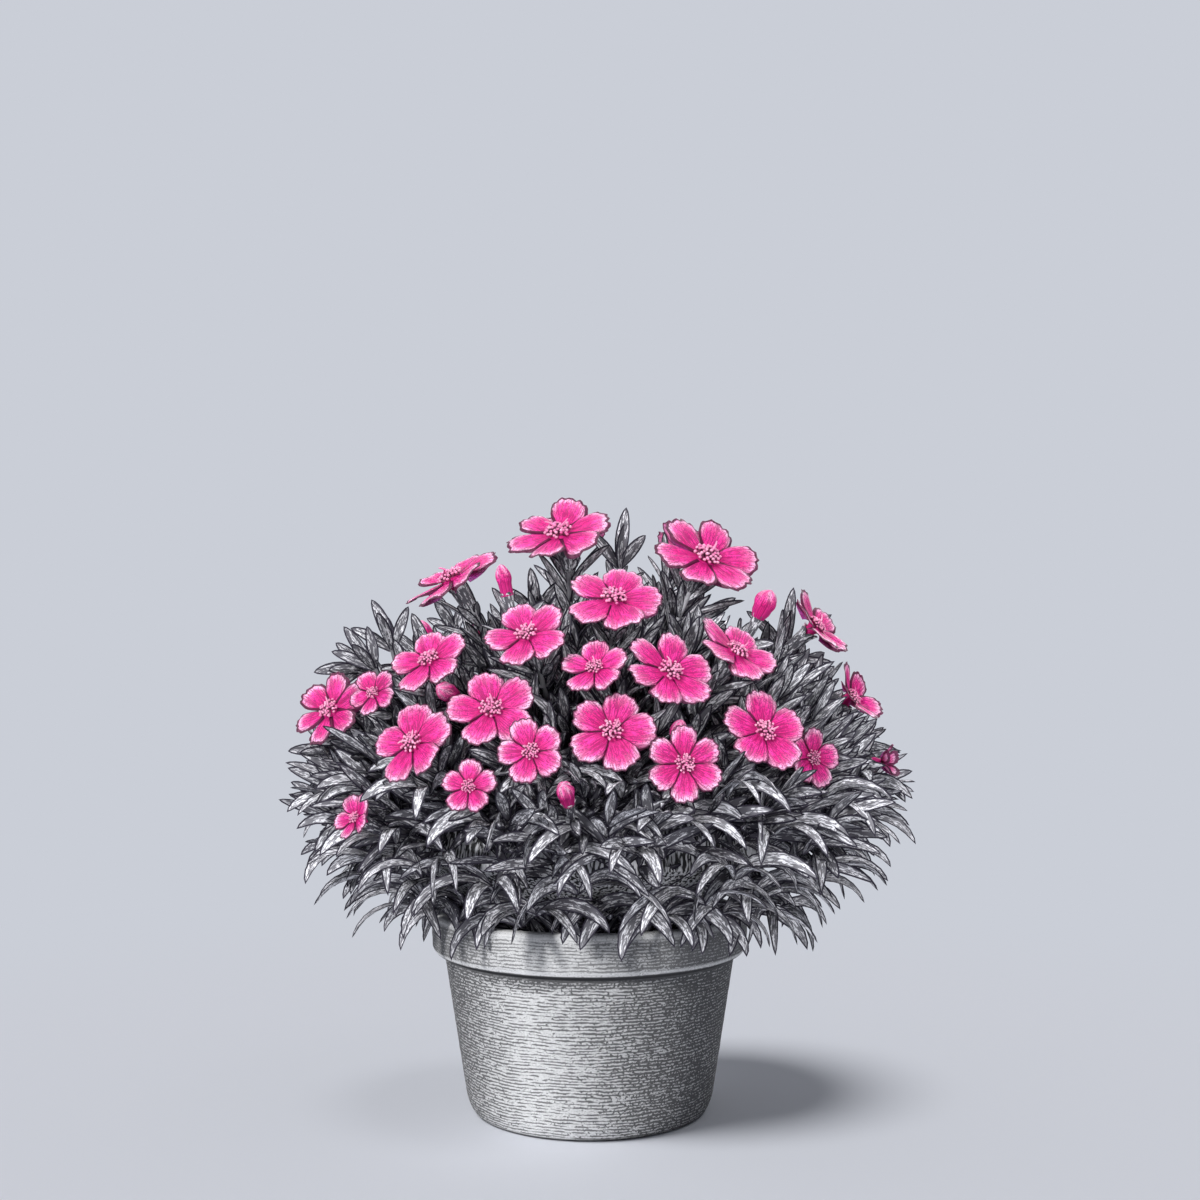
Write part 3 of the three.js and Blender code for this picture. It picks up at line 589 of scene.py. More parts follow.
def add_pot(material):
    """The pot, slightly uneven as thrown by hand, with its drain holes cut through the floor."""
    line = rounded(POT_OUTLINE)
    fine = [line[0]]
    for here, there in zip(line, line[1:]):
        steps = max(1, int(np.linalg.norm(there - here) / 2.2))
        fine += [here + (there - here) * (i + 1) / steps for i in range(steps)]
    points, faces = lathe(fine, 180)
    radius = radius_of(points)
    level = vectors(points[:, 2] * 2.6, 0, 0)
    wobble = 0.12 * ripple(points, 0.05, 3) + 0.07 * ripple(level, 1.0, 4)
    points[:, :2] *= 1 + (wobble * np.clip(radius - 40, 0, 1) / np.maximum(radius, 1))[:, None]
    rim = np.clip((points[:, 2] - 78) / 2, 0, 1) * np.clip((radius - 55) / 2, 0, 1)
    points[:, 2] += rim * 0.25 * ripple(points, 0.045, 5)
    mesh = Mesh()
    mesh.add(points, faces)
    pot = mesh.build("clay_pot", [material], ["pot"], sharp=60)

    wide, narrow, above = DRAIN["radius"] + 0.6, DRAIN["radius"], POT["floor"] + 5
    drill, walls = lathe([(0, -5), (wide, -5), (narrow, 1.5), (narrow, above), (0, above)], 28)
    cutters = Mesh()
    for i in range(DRAIN["count"]):
        angle = (i + 0.5) / DRAIN["count"] * 2 * math.pi
        cutters.add(drill + DRAIN["ring"] * vectors(math.cos(angle), math.sin(angle), 0), walls)
    drills = cutters.build("drills", [material], ["pot"])
    cut = pot.modifiers.new("drains", "BOOLEAN")
    cut.operation = "DIFFERENCE"
    cut.solver = "EXACT"
    cut.object = drills
    graph = bpy.context.evaluated_depsgraph_get()
    pot.data = bpy.data.meshes.new_from_object(pot.evaluated_get(graph))
    pot.modifiers.clear()
    bpy.data.objects.remove(drills)


def soil_height(radius):
    return SOIL["edge"] + SOIL["rise"] * (1 - (radius / SOIL["radius"]) ** 2)


def add_soil(material):
    """A low uneven mound with crumbs on it."""
    rng = np.random.default_rng(11)
    low = POT["floor"] + 1
    profile = [(0, low), (43.6, low), (54.6, SOIL["edge"] - 2)]
    profile += [(r, soil_height(r)) for r in np.linspace(SOIL["radius"], 1.5, 30)] + [(0, soil_height(0))]
    points, faces = lathe(profile, 96)
    top = points[:, 2] > SOIL["edge"] - 1
    points[:, 2] += top * (0.8 * ripple(points, 0.35, 6) + 0.5 * ripple(points, 1.1, 7))
    mesh = Mesh()
    mesh.add(points, faces)
    ball = np.array([[0, 0, 1], [1, 0, 0], [0, 1, 0], [-1, 0, 0], [0, -1, 0], [0, 0, -1]], float)
    corners = [(0, 1, 2), (0, 2, 3), (0, 3, 4), (0, 4, 1), (5, 2, 1), (5, 3, 2), (5, 4, 3), (5, 1, 4)]
    for _ in range(320):
        radius = 54 * math.sqrt(rng.uniform(0.05, 1))
        angle = rng.uniform(0, 2 * math.pi)
        lump = ball * rng.uniform(0.6, 1.7, 3) * rng.uniform(0.75, 1.25, (6, 1))
        turn = turn_to(unit(rng.normal(size=3) + UP * 0.2))
        centre = vectors(radius * math.cos(angle), radius * math.sin(angle), soil_height(radius) + 0.7)
        mesh.add(lump @ turn + centre, [corners], mark=(rng.uniform(0, 1), 0, 0))
    mesh.build("compost", [material], ["soil"], sharp=35)


# ---- blooms and buds ----------------------------------------------------------------------------

PETAL_COLUMNS = 25
PETAL_ROWS = np.array([0, 0.16, 0.34, 0.52, 0.68, 0.81, 0.9, 0.96, 1])[:, None]  # from the claw out
OUTLINE = {"wide": 0.7, "plain": 0.12}
ANTHERS = 40


def petal_outline(share):
    """The reach of a petal at a share of its half-angle, from the notch at 1 to the tip at 0."""
    return 0.36 + 0.64 * (1 - np.abs(share) ** 2.8) ** 0.5


def add_petal(mesh, place, turn, half, radius, cup, lift, line, rng):
    """One petal, as a thin closed blade that is thickest at its claw. Its dark outline is wider by
    a number of millimetres."""
    rows = PETAL_ROWS
    step = np.linspace(-1, 1, PETAL_COLUMNS)
    u = np.sign(step) * (1 - (1 - np.abs(step)) ** 1.5)
    phase = rng.uniform(0, 2 * math.pi, 4)
    teeth = 1 - 0.06 * (1 - np.abs(np.cos(3.1 * math.pi * u + phase[0]))) - 0.015 * np.sin(8 * u + phase[1])
    smooth = radius * petal_outline(u)
    edge = smooth * teeth
    claw = 0.14 * radius
    out = claw + (smooth - claw) * rows + (edge - smooth) * rows**4
    angle = turn + u * half * 1.13 + 0.03 * np.sin(phase[2]) * rows**2
    share = out / radius
    height = cup * radius * share**1.5 + lift * share**2
    height = height + radius * (
        0.07 * u * rows
        + 0.03 * np.sin(2.2 * u + phase[3]) * rows**2
        + 0.022 * np.sin(8.5 * u + phase[1]) * rows**3
        - 0.07 * u**2 * rows
        - 0.03 * np.exp(-((u / 0.14) ** 2)) * np.sin(math.pi * np.minimum(rows, 0.95))
        - 0.05 * rows**6
    )
    top = vectors(out * np.cos(angle), out * np.sin(angle), height)
    under = top - vectors(0, 0, (0.5 - 0.3 * rows) * (0.6 + radius / 40))
    flat = top * [1, 1, 0]
    margin = np.linalg.norm(flat[:, :, None] - flat[-1], axis=-1).min(axis=-1)
    beside = (1 - np.abs(u)) * half * out + 0.05
    margin = np.where(out < 0.5 * radius, np.minimum(margin, beside), margin)
    mark = vectors(u * half * (0.35 * radius + 0.65 * out), out, rng.uniform(0, 500))
    shapes = [vectors(margin - line, share, back) for back in (0, 1)]
    grid = np.arange(out.size).reshape(out.shape)
    first = grid[:-1, :-1].ravel()
    cells = np.stack([first, first + PETAL_COLUMNS, first + PETAL_COLUMNS + 1, first + 1], -1)
    loop = np.concatenate([grid[0], grid[1:, -1], grid[-1, -2::-1], grid[-2:0:-1, 0]])
    after = np.roll(loop, -1)
    wall = np.stack([loop, after, after + out.size, loop + out.size], -1)
    mesh.add(
        place(np.concatenate([top, under])),
        [cells, cells[:, ::-1] + out.size, wall],
        np.concatenate([mark, mark]),
        np.concatenate(shapes),
    )


def tube(path, radii, around):
    """A closed tube along a path, with flat ends."""
    path = np.asarray(path, float)
    along = unit(np.gradient(path, axis=0))[:, None]
    side = unit(np.cross(along, [0.31, 0.17, 0.42]))
    ring = about(side, np.cross(along, side), np.arange(around) / around * 2 * math.pi)
    points = path[:, None] + ring * np.reshape(radii, (-1, 1, 1))
    return np.concatenate([points.reshape(-1, 3), path[[0, -1]]]), capped(len(path), around)


def add_bloom(number, row, materials):
    """A ring of petals, the throat that joins them, and a close tuft of stamens with two styles."""
    bearing, height, off, size, face_bearing, face_up, turn, cup, petals = row
    rng = np.random.default_rng(100 + number)
    centre = on_dome(bearing, height, off)
    turned = turn_to(heading(face_bearing, face_up))
    radius = size / 2
    half = math.pi / petals

    def place(points):
        return points @ turned + centre

    mesh = Mesh()
    for k in range(petals):
        reach = radius * (0.93 + 0.07 * draw(number * 10 + k))
        lift = 0.07 * size * (draw(number * 10 + k + 0.5) - 0.5)
        spin = math.radians(turn) + 2 * k * half
        line = OUTLINE["wide" if number in OUTLINED else "plain"]
        add_petal(mesh, place, spin, half, reach, cup, lift, line, rng)

    throat = [
        (0, -PETAL_NECK["depth"]),
        (PETAL_NECK["radius"], -PETAL_NECK["depth"]),
        (PETAL_NECK["radius"] * 0.95, -2.6),
        (0.1 * size, -0.5),
        (0.105 * size, 0.008 * size),
        (0.07 * size, 0.022 * size),
        (0, 0.026 * size),
    ]
    points, faces = lathe(throat, 20)
    mesh.add(place(points), faces, shape=vectors(2, radius_of(points) / radius, 0))

    anther, anther_faces = lathe([(0, -1), (0.75, -0.66), (1, 0), (0.75, 0.66), (0, 1)], 8)
    # How low a point sits on the anther, which the tuft's colour darkens as painted shade.
    low = vectors((1 - anther[:, 2]) / 2, 0, 0)
    for i in range(ANTHERS):
        angle = i * GOLDEN_ANGLE + rng.uniform(-0.25, 0.25)
        share = math.sqrt((i + 0.5) / ANTHERS)
        away = vectors(math.cos(angle), math.sin(angle), 0)
        foot = size * (away * 0.08 * share + UP * 0.018)
        top = size * (away * 0.12 * share + UP * (0.075 - 0.035 * share**2) * rng.uniform(0.85, 1.15))
        points, faces = tube([foot, foot * 0.4 + top * 0.6, top], size * np.array([0.014, 0.011, 0.009]), 5)
        seed = rng.uniform(0, 500)
        # The filaments take a middling painted shade.
        mesh.add(place(points), faces, mark=(0, 0, seed), shape=(0.6, 0, 0), finish=1)
        way = turn_to(unit(away * (0.3 + share) + UP * 0.9 + rng.normal(0, 0.25, 3)))
        points = anther * [0.016 * size, 0.014 * size, 0.021 * size]
        mesh.add(place(points @ way + top), anther_faces, (0, 0, seed + 1), low, finish=1)
    for angle in (number - 1.3, number + 1.3):
        away = vectors(math.cos(angle), math.sin(angle), 0)
        aside = vectors(-math.sin(angle), math.cos(angle), 0)
        path = [
            size * (away * 0.1 * share + aside * 0.05 * share**3 + UP * (0.03 + 0.1 * share**0.7))
            for share in (0, 0.3, 0.6, 0.85, 1)
        ]
        points, faces = tube(path, size * np.array([0.012, 0.011, 0.01, 0.008, 0.005]), 6)
        mesh.add(place(points), faces, mark=(0, 0, 900 + number), finish=1)
    mesh.build(f"corolla_{number:02d}", materials, [f"bloom_{number:02d}"], sharp=65)


def add_bud(number, row, materials):
    """Petals furled into a pointed roll, with five folds that wind round it."""
    bearing, height, off, length, width, face_bearing, face_up = row
    rng = np.random.default_rng(300 + number)
    neck = PETAL_NECK["depth"]
    levels = [(0, -neck), (PETAL_NECK["radius"], -neck), (0.4 * width, -0.4 * neck)]
    for share in np.linspace(0, 1, 15)[:-1]:
        swell = 0.5 * width * (1 - share**2.6) ** 0.55 * (0.84 + 0.16 * math.sin(math.pi * share))
        levels.append((swell, share * 0.84 * length))
    levels.append((0, 0.84 * length))
    points, faces = lathe(levels, 60)
    angle = np.arctan2(points[:, 1], points[:, 0])
    climb = np.clip(points[:, 2] / length, 0, 1)
    crest = np.abs(np.sin((5 * angle + 5.5 * climb + rng.uniform(0, 6)) / 2))
    points[:, :2] *= (1 + (0.16 * crest - 0.1) * smooth_step(0, 0.2, climb))[:, None]
    margin = 0.25 + 1.9 * crest + 3 * (1 - smooth_step(0, 0.25, climb))
    mark = vectors(angle * width / 2, climb * length, rng.uniform(0, 500))
    points = points @ turn_to(heading(face_bearing, face_up)) + on_dome(bearing, height, off)
    mesh = Mesh()
    mesh.add(points, faces, mark, vectors(margin, 0.35 + 0.6 * climb, 0))
    mesh.build(f"furled_bud_{number:02d}", materials, [f"bud_{number:02d}"], sharp=65)


# Everything that a stalk carries: where it is, the way it looks, and the room that it takes up.
HEADS = [
    (on_dome(*row[:3]), heading(*row[4:6]), row[3] / 2, (row[7] / 2 + 0.06) * row[3])
    for row in BLOOMS
]
HEADS += [(on_dome(*row[:3]), heading(*row[5:7]), row[4] / 2, row[3]) for row in BUDS]


# ---- leaves -------------------------------------------------------------------------------------

# A leaf has a root, a way (its first direction), across (unit vector over the blade), a side (level,
# square to the way), length, width, curl (how far it bends over, in radians), bend (how much of
# that goes sideways), twist, fold and seed.
LEAF = np.dtype(
    [(name, float, 3) for name in ("root", "way", "across", "side")]
    + [(name, float) for name in ("length", "width", "curl", "bend", "twist", "fold", "seed")]
)
LEAF_ROWS = np.array([0.06, 0.18, 0.32, 0.46, 0.6, 0.73, 0.85, 0.94])
LEAF_THICKNESS = 0.9
LEAF_WIDTH = {"shoot": 5.3, "fan": 6.0, "inner": 4.2}
# A blade's upper face, by the shares of its half-width across and of its fold upwards.
LEAF_SECTION = np.array([(-1, 1), (-0.5, 0.4), (0, 0), (0.5, 0.4), (1, 1)])


def leaf_batch(root, way, facing, rng, **numbers):
    """Leaves whose upper faces look as nearly as they can in the given directions."""
    leaves = np.zeros(len(root), LEAF)
    level = np.cross(way, UP)
    upright = np.linalg.norm(level, axis=1, keepdims=True) < 0.05
    vectors_and_numbers = numbers | {
        "root": root,
        "way": way,
        "across": unit(np.cross(way, facing)),
        "side": unit(np.where(upright, [[1.0, 0, 0]], level)),
        "seed": rng.uniform(0, 1000, len(root)),
    }
    for name, value in vectors_and_numbers.items():
        leaves[name] = value
    return leaves


def shown_to(out):
    """The way that leaves show their faces: outwards, and round to the front where they can."""
    return unit(out + 0.9 * heading(0, 0) * np.clip(0.7 - out[:, 1:2], 0, 1))


def blade_width(share):
    """Half-width of a blade as a share of its widest."""
    swell = 0.3 + 0.7 * np.sin(math.pi / 2 * np.minimum(share / 0.6, 1))
    return swell * np.maximum(0, 1 - share**4) ** 0.7


def dot(first, second):
    return (first * second).sum(-1, keepdims=True)


def blade(leaves, t):
    """Middle line, way along and way across of each leaf at shares of its length. A leaf is an arc
    of a circle that bends downwards, and its way across turns with it."""
    share = t[None, :, None]
    length, curl, bend = (leaves[key][:, None, None] for key in ("length", "curl", "bend"))
    way, start = leaves["way"][:, None], leaves["across"][:, None]
    down = leaves["side"][:, None] * bend - UP
    down = unit(down - dot(down, way) * way)
    angle = np.maximum(curl, 0.01) * share
    radius = length / np.maximum(curl, 0.01)
    spine = leaves["root"][:, None] + radius * (way * np.sin(angle) + down * (1 - np.cos(angle)))
    along = way * np.cos(angle) + down * np.sin(angle)
    across = dot(start, np.cross(way, down)) * np.cross(way, down)
    across = across + dot(start, down) * (down * np.cos(angle) - way * np.sin(angle))
    turn = leaves["twist"][:, None, None] * share
    return spine, along, across * np.cos(turn) + np.cross(across, along) * np.sin(turn)


def clear_of_heads(points, room):
    """True where a point keeps out of the space before and behind every bloom and bud."""
    ok = np.ones(points.shape[:-1], bool)
    for centre, normal, radius, depth in HEADS:
        offset = points - centre
        height = offset @ normal
        across = np.sqrt(np.maximum(0, (offset**2).sum(-1) - height**2))
        front = depth + room["front"]
        narrowing = 0.3 * np.maximum(0, height - depth)
        in_disc = (across < radius + room["side"] - narrowing) & (height > -room["back"]) & (height < front)
        in_neck = (across < CALYX["mouth"] + 0.5) & (height > -CALYX["length"]) & (height <= 0)
        ok &= ~(in_disc | in_neck)
    return ok


def clear_of_pot(points):
    radius, height = radius_of(points), points[..., 2]
    outside = (radius > POT["radius"] + 0.9) | (height > POT["height"] + 0.7)
    return outside | ((radius < 54) & (height > SOIL["edge"] + 1))


def above_hem(points):
    """The lower edge of the foliage rises outwards, and is higher at the front than at the sides."""
    front = np.clip((-points[..., 1] - 40) / 35, 0, 1)
    return points[..., 2] > 63 + 0.9 * np.maximum(0, radius_of(points) - 88) + 11 * front


def leaf_is_clear(leaves, room):
    t = np.linspace(0.2, 1, 9)
    spine, _, across = blade(leaves, t)
    half = (leaves["width"][:, None] / 2 * blade_width(t))[..., None]
    points = np.concatenate([spine, spine - across * half, spine + across * half], axis=1)
    ok = clear_of_heads(points, room) & clear_of_pot(points)
    return ok.all(axis=1) & above_hem(spine[:, -1])


def fitted(leaves, room):
    """Each leaf as it is or, where something is in its way, shorter or bent aside. A leaf that fits
    nowhere is left out."""
    placed = []
    for slack, share in ((1, 1), (1, 0.85), (1, 0.72), (0.6, 1), (0.6, 0.85), (0.6, 0.7), (0.6, 0.55)):
        for swing in (0, 0.22, -0.22, 0.45, -0.45):
            tried = leaves.copy()
            tried["way"] = unit(leaves["way"] + swing * leaves["side"])
            tried["length"] *= share
            tried["curl"] *= slack
            ok = leaf_is_clear(tried, room)
            placed.append(tried[ok])
            leaves = leaves[~ok]
    return np.concatenate(placed)


def depth_in_bush(points):
    """0 at the outside of the bush and 1 well inside it."""
    radius, above = radius_of(points), points[..., 2] - ENVELOPE["height"]
    upper = np.hypot(radius / ENVELOPE["radius"], above / ENVELOPE["rise"])
    skirt = ENVELOPE["radius"] + ENVELOPE["taper"] * np.minimum(0, above)
    inside = 1 - np.where(above > 0, upper, radius / np.maximum(skirt, 30))
    return np.clip((inside - 0.04) / 0.3, 0, 1)


def add_leaves(mesh, leaves, shade):
    """Each leaf is a closed blade, folded along its midrib, with a keel below. The shade makes a
    batch look as if it lay deeper in the bush."""
    count = len(leaves)
    length, seed, fold = (leaves[key][:, None, None] for key in ("length", "seed", "fold"))
    spine, along, across = blade(leaves, LEAF_ROWS)
    normal = np.cross(across, along)
    half = (leaves["width"][:, None] / 2 * blade_width(LEAF_ROWS))[..., None]
    section = [spine + across * (half * x) + normal * (half * fold * up) for x, up in LEAF_SECTION]
    section.append(spine - normal * LEAF_THICKNESS * (0.55 + 0.45 * half / half.max()))
    ends, _, _ = blade(leaves, np.array([0.0, 1.0]))
    sides = np.append(LEAF_SECTION[:, 0], 0)
    t = LEAF_ROWS[:, None]

    def with_ends(rows, last):
        return np.concatenate([rows.reshape(count, -1, 3), np.broadcast_to(last, (count, 2, 3))], axis=1)

    points = with_ends(np.stack(section, axis=2), ends)
    mark = with_ends(vectors(sides * half, t * length, seed), vectors(0, length[:, 0] * [0, 1], seed[:, 0]))
    shape = with_ends(vectors((1 - np.abs(sides)) * half, t, 0), vectors(0, [0, 1], 0))
    # The third shape is painted shade: how deep a point lies in the bush, plus the batch's shade.
    shape[..., 2] = np.clip(depth_in_bush(points) + shade, 0, 1)
    start = np.arange(count)[:, None, None] * points.shape[1]
    one = capped(len(LEAF_ROWS), len(sides))
    mesh.add(points, [(start + part).reshape(-1, part.shape[1]) for part in one], mark, shape)


# The pairs of leaves on a shoot, how far below its apex the last one starts, and the stem's length.
SHOOT = {"pairs": 5, "tip": 19, "stem": 20}


def shoot_leaves(count, seed):
    """Shoots that are spread over the envelope by the golden angle, each with crossed pairs of
    leaves that open less towards its tip."""
    rng = np.random.default_rng(seed)
    lowest = math.cos(math.radians(74))
    number = np.arange(count)
    polar = np.arccos(1 - (1 - lowest) * (number + 0.5) / count)
    angle = number * GOLDEN_ANGLE + rng.uniform(-0.12, 0.12, count)
    low = np.clip(polar / math.radians(90), 0, 1)
    out = vectors(np.sin(polar) * np.cos(angle), np.sin(polar) * np.sin(angle), np.cos(polar))
    reach = rng.uniform(0.93, 1.04, count) * (1 + LEAN * out[:, 0])
    apex = out * half_axes(ENVELOPE) * reach[:, None] + UP * ENVELOPE["height"]
    axis = unit(out + UP * (0.3 + 0.5 * low)[:, None] + rng.normal(0, 0.13, (count, 3)))
    side = unit(np.cross(axis, out + rng.normal(0, 0.4, (count, 3))))
    over = np.cross(axis, side)
    batches = []
    for k in range(SHOOT["pairs"]):
        share = k / (SHOOT["pairs"] - 1)
        below = SHOOT["tip"] + 6 * low + SHOOT["stem"] * (1 - share)
        root = apex - axis * below[:, None]
        for half_turn in (0, math.pi):
            radial = about(side, over, k * math.pi / 2 + half_turn + rng.normal(0, 0.25, count))
            opening = np.radians((50 - 36 * share) * rng.uniform(0.75, 1.2, count))
            batches.append(
                leaf_batch(
                    root,
                    about(axis, radial, opening),
                    rng=rng,
                    length=(23 + 8 * low) * rng.uniform(0.8, 1.15, count) * (1.06 - 0.22 * share),
                    facing=shown_to(out) + rng.normal(0, 0.3, (count, 3)),
                    width=LEAF_WIDTH["shoot"] * rng.uniform(0.8, 1.15, count),
                    curl=(0.1 + 0.9 * low**2) * rng.uniform(0.4, 1.3, count),
                    bend=rng.normal(0, 0.3, count),
                    twist=rng.normal(0, 0.4, count),
                    fold=rng.uniform(0.1, 0.3, count),
                )
            )
    return np.concatenate(batches)


# Rings of shoots round the lower bush, each with a fan of leaves that arch over and point down at
# their tips: number of shoots, radius and height of their roots, length of the leaves, and their
# slope at the root and at the tip in degrees. At the sides the shoots hang lower.
FANS = [
    (12, 62, 88, 38, 40, -78),
    (13, 74, 93, 39, 42, -76),
    (14, 85, 101, 39, 44, -72),
    (15, 94, 111, 37, 45, -68),
    (16, 99, 123, 35, 46, -64),
    (17, 100, 136, 33, 48, -58),
]
FAN_DROOP = 10
FAN_SPREAD = np.array([-84, -44, -6, 36, 78])  # degrees from the shoot's own bearing


def fan_leaves(seed):
    """Leaves in fans, turned on their own axes so that they show their faces."""
    rng = np.random.default_rng(seed)
    batches = []
    for tier, (shoots, radius, height, length, rise, hang) in enumerate(FANS):
        own = (np.arange(shoots) + 0.5 * tier + rng.uniform(-0.25, 0.25, shoots)) / shoots * 360
        lift = rng.uniform(-3, 4, shoots) - FAN_DROOP * np.abs(np.sin(np.radians(own)))
        own, lift = np.repeat(own, len(FAN_SPREAD)), np.repeat(lift, len(FAN_SPREAD))
        spread = np.tile(FAN_SPREAD, shoots)
        count = len(own)
        out = heading(own, 0)
        bearing = own + spread + rng.normal(0, 8, count)
        climb = rise + 16 * np.abs(spread) / 90 + rng.uniform(-14, 14, count)
        beside = heading(bearing + 90, 0)
        towards = dot(beside, shown_to(out))[:, 0]
        roll = np.minimum(1.25 * np.abs(np.arcsin(towards)), 1.5) + rng.normal(0, 0.2, count)
        reach = 1 + LEAN * np.sin(np.radians(own))
        from_axis = radius * reach * rng.uniform(0.97, 1.03, count)
        batches.append(
            leaf_batch(
                out * from_axis[:, None] + UP * (height + lift)[:, None],
                heading(bearing, climb),
                about(heading(bearing, climb + 90), beside * np.sign(towards)[:, None], roll),
                rng,
                length=length * reach * rng.uniform(0.85, 1.12, count),
                width=LEAF_WIDTH["fan"] * rng.uniform(0.85, 1.15, count),
                curl=np.radians(climb - hang + rng.uniform(-22, 14, count)),
                bend=rng.normal(0, 0.2, count),
                twist=rng.normal(0, 0.2, count),
                fold=rng.uniform(0.08, 0.2, count),
            )
        )
    return np.concatenate(batches)


def inner_leaves(count, seed):
    """Short straight leaves that stand on the mass of stems, dark with painted shade, and fill the gaps."""
    rng = np.random.default_rng(seed)
    number = np.arange(count) + 0.5
    polar = np.arccos(1 - 1.35 * (number / count) ** 1.2)
    angle = number * GOLDEN_ANGLE + rng.uniform(-0.2, 0.2, count)
    out = vectors(np.cos(angle), np.sin(angle), 0)
    below = np.clip(np.degrees(polar) - 84, 0, 21)
    radius = (CORE["radius"] - 1.6 * below) * np.minimum(np.sin(polar), 1)
    height = CORE["height"] + CORE["rise"] * np.cos(polar) - 0.3 * below
    root = out * (radius * rng.uniform(0.85, 1, count))[:, None] + UP * (height - 4)[:, None]
    loose = 0.35 + 0.4 * np.clip(np.cos(polar), 0, 1) ** 6
    way = unit(out * np.sin(polar)[:, None] * 0.9 + UP + rng.normal(0, 1, (count, 3)) * loose[:, None])
    return leaf_batch(
        root,
        way,
        shown_to(out) + rng.normal(0, 0.3, (count, 3)),
        rng,
        length=rng.uniform(20, 30, count),
        width=LEAF_WIDTH["inner"] * rng.uniform(0.8, 1.15, count),
        curl=rng.uniform(0, 0.6, count),
        bend=rng.normal(0, 0.4, count),
        twist=rng.normal(0, 0.3, count),
        fold=rng.uniform(0.15, 0.4, count),
    )


def sprig_fork(row):
    return heading(row[0], 0) * row[1] + UP * row[2]


def sprig_leaves(seed):
    """At the top of each sprig, one leaf straight on, a pair that opens to its sides as seen from
    the front, and a pair that opens to the front and the back."""
    rng = np.random.default_rng(seed)
    front = heading(0, 0)
    rows = []
    for number, row in enumerate(SPRIGS):
        axis = heading(row[3], row[4])
        side = unit(np.cross(front, axis))
        root = sprig_fork(row) - axis * SPRIG["sunk"]
        for k in range(5):
            lot = 900 + 10 * number + k
            opening = math.radians(24 + 16 * draw(lot)) if k else 0
            towards = (front if k > 2 else side) * (-1 if k % 2 else 1)
            way = axis * math.cos(opening) + towards * math.sin(opening)
            share = 0.65 + 0.25 * draw(lot + 0.5) if k else 1
            facing = axis + 0.3 * front if k > 2 else front + 0.15 * axis
            rows.append((root, way, facing, SPRIG["sunk"] + row[5] * share, row[6] * (0.8 if k else 0.9)))
    root, way, facing, length, width = (np.array([row[i] for row in rows]) for i in range(5))
    count = len(rows)
    facing = facing + rng.normal(0, 0.15, (count, 3))
    curl = rng.uniform(0.05, 0.35, count) + 0.5 * (1 - way[:, 2]) ** 2
    fold = rng.uniform(0.12, 0.3, count)
    return leaf_batch(root, way, facing, rng, length=length, width=width, curl=curl, fold=fold)


# Every stalk, by its mouth, the way it looks there, and the scale of its end. The calyx of a large
# bloom has a scale of 1, and the plain end of a sprig's stem has a small one.
STALKS = [
    (centre - normal * (PETAL_NECK["depth"] + 0.3), normal, min(1, 0.55 + radius / 40))
    for centre, normal, radius, _ in HEADS
] + [(sprig_fork(row), heading(row[3], row[4]), SPRIG["share"]) for row in SPRIGS]


def crown_leaves(count, seed):
    """Dark narrow leaves that rise out of the soil inside the rim."""
    rng = np.random.default_rng(seed)
    bearing = np.arange(count) * math.degrees(GOLDEN_ANGLE)
    out = heading(bearing, 0)
    root = out * rng.uniform(22, 50, count)[:, None] + UP * (SOIL["edge"] + 1)
    way = heading(bearing + rng.normal(0, 40, count), rng.uniform(45, 88, count))
    return leaf_batch(
        root,
        way,
        shown_to(out),
        rng,
        length=rng.uniform(20, 32, count),
        width=rng.uniform(2.6, 4.2, count),
        curl=rng.uniform(0, 0.9, count),
        fold=0.2,
    )


def stalk_line(mouth, normal, share):
    """Where a stalk leaves the heart, and where it starts to swell below its mouth."""
    base = mouth - normal * CALYX["length"] * share
    inward = UP * HEART["height"] - base
    return base + inward * (1 - 0.8 / np.linalg.norm(inward / half_axes(HEART))), base


def stalk_leaves(seed):
    """Whorls of narrow leaves up each stalk, and four scales at the foot of each calyx."""
    rng = np.random.default_rng(seed)
    rows = []
    for number, (mouth, normal, share) in enumerate(STALKS):
        root, base = stalk_line(mouth, normal, share)
        axis = unit(base - root)
        side = unit(np.cross(axis, [0.3, 0.2, 0.9]))
        over = np.cross(axis, side)
        steps = max(2, int(np.linalg.norm(base - root) / 7))
        for k in range(steps):
            at = root + (base - root) * (k + 0.3) / steps
            for third in range(3):
                radial = about(side, over, k * 1.1 + third * 2.1 + rng.normal(0, 0.3))
                way = about(axis, radial, math.radians(rng.uniform(22, 48)))
                rows.append((at, way, rng.uniform(20, 30) * share, rng.uniform(3.6, 5.0), 0.15))
        for k in range(4 if number < len(HEADS) else 0):
            radial = about(side, over, k * math.pi / 2 + rng.normal(0, 0.1))
            way = unit(normal * 0.97 + radial * 0.22)
            rows.append((base + radial * 1.2 * share, way, 8 * share, 3.4 * share, 0))
    root, way, length, width, curl = (np.array(column) for column in zip(*rows))
    facing = shown_to(unit(root - UP * ENVELOPE["height"])) + rng.normal(0, 0.35, root.shape)
    fold = rng.uniform(0.2, 0.5, len(root))
    return leaf_batch(root, way, facing, rng, length=length, width=width, curl=curl, fold=fold)


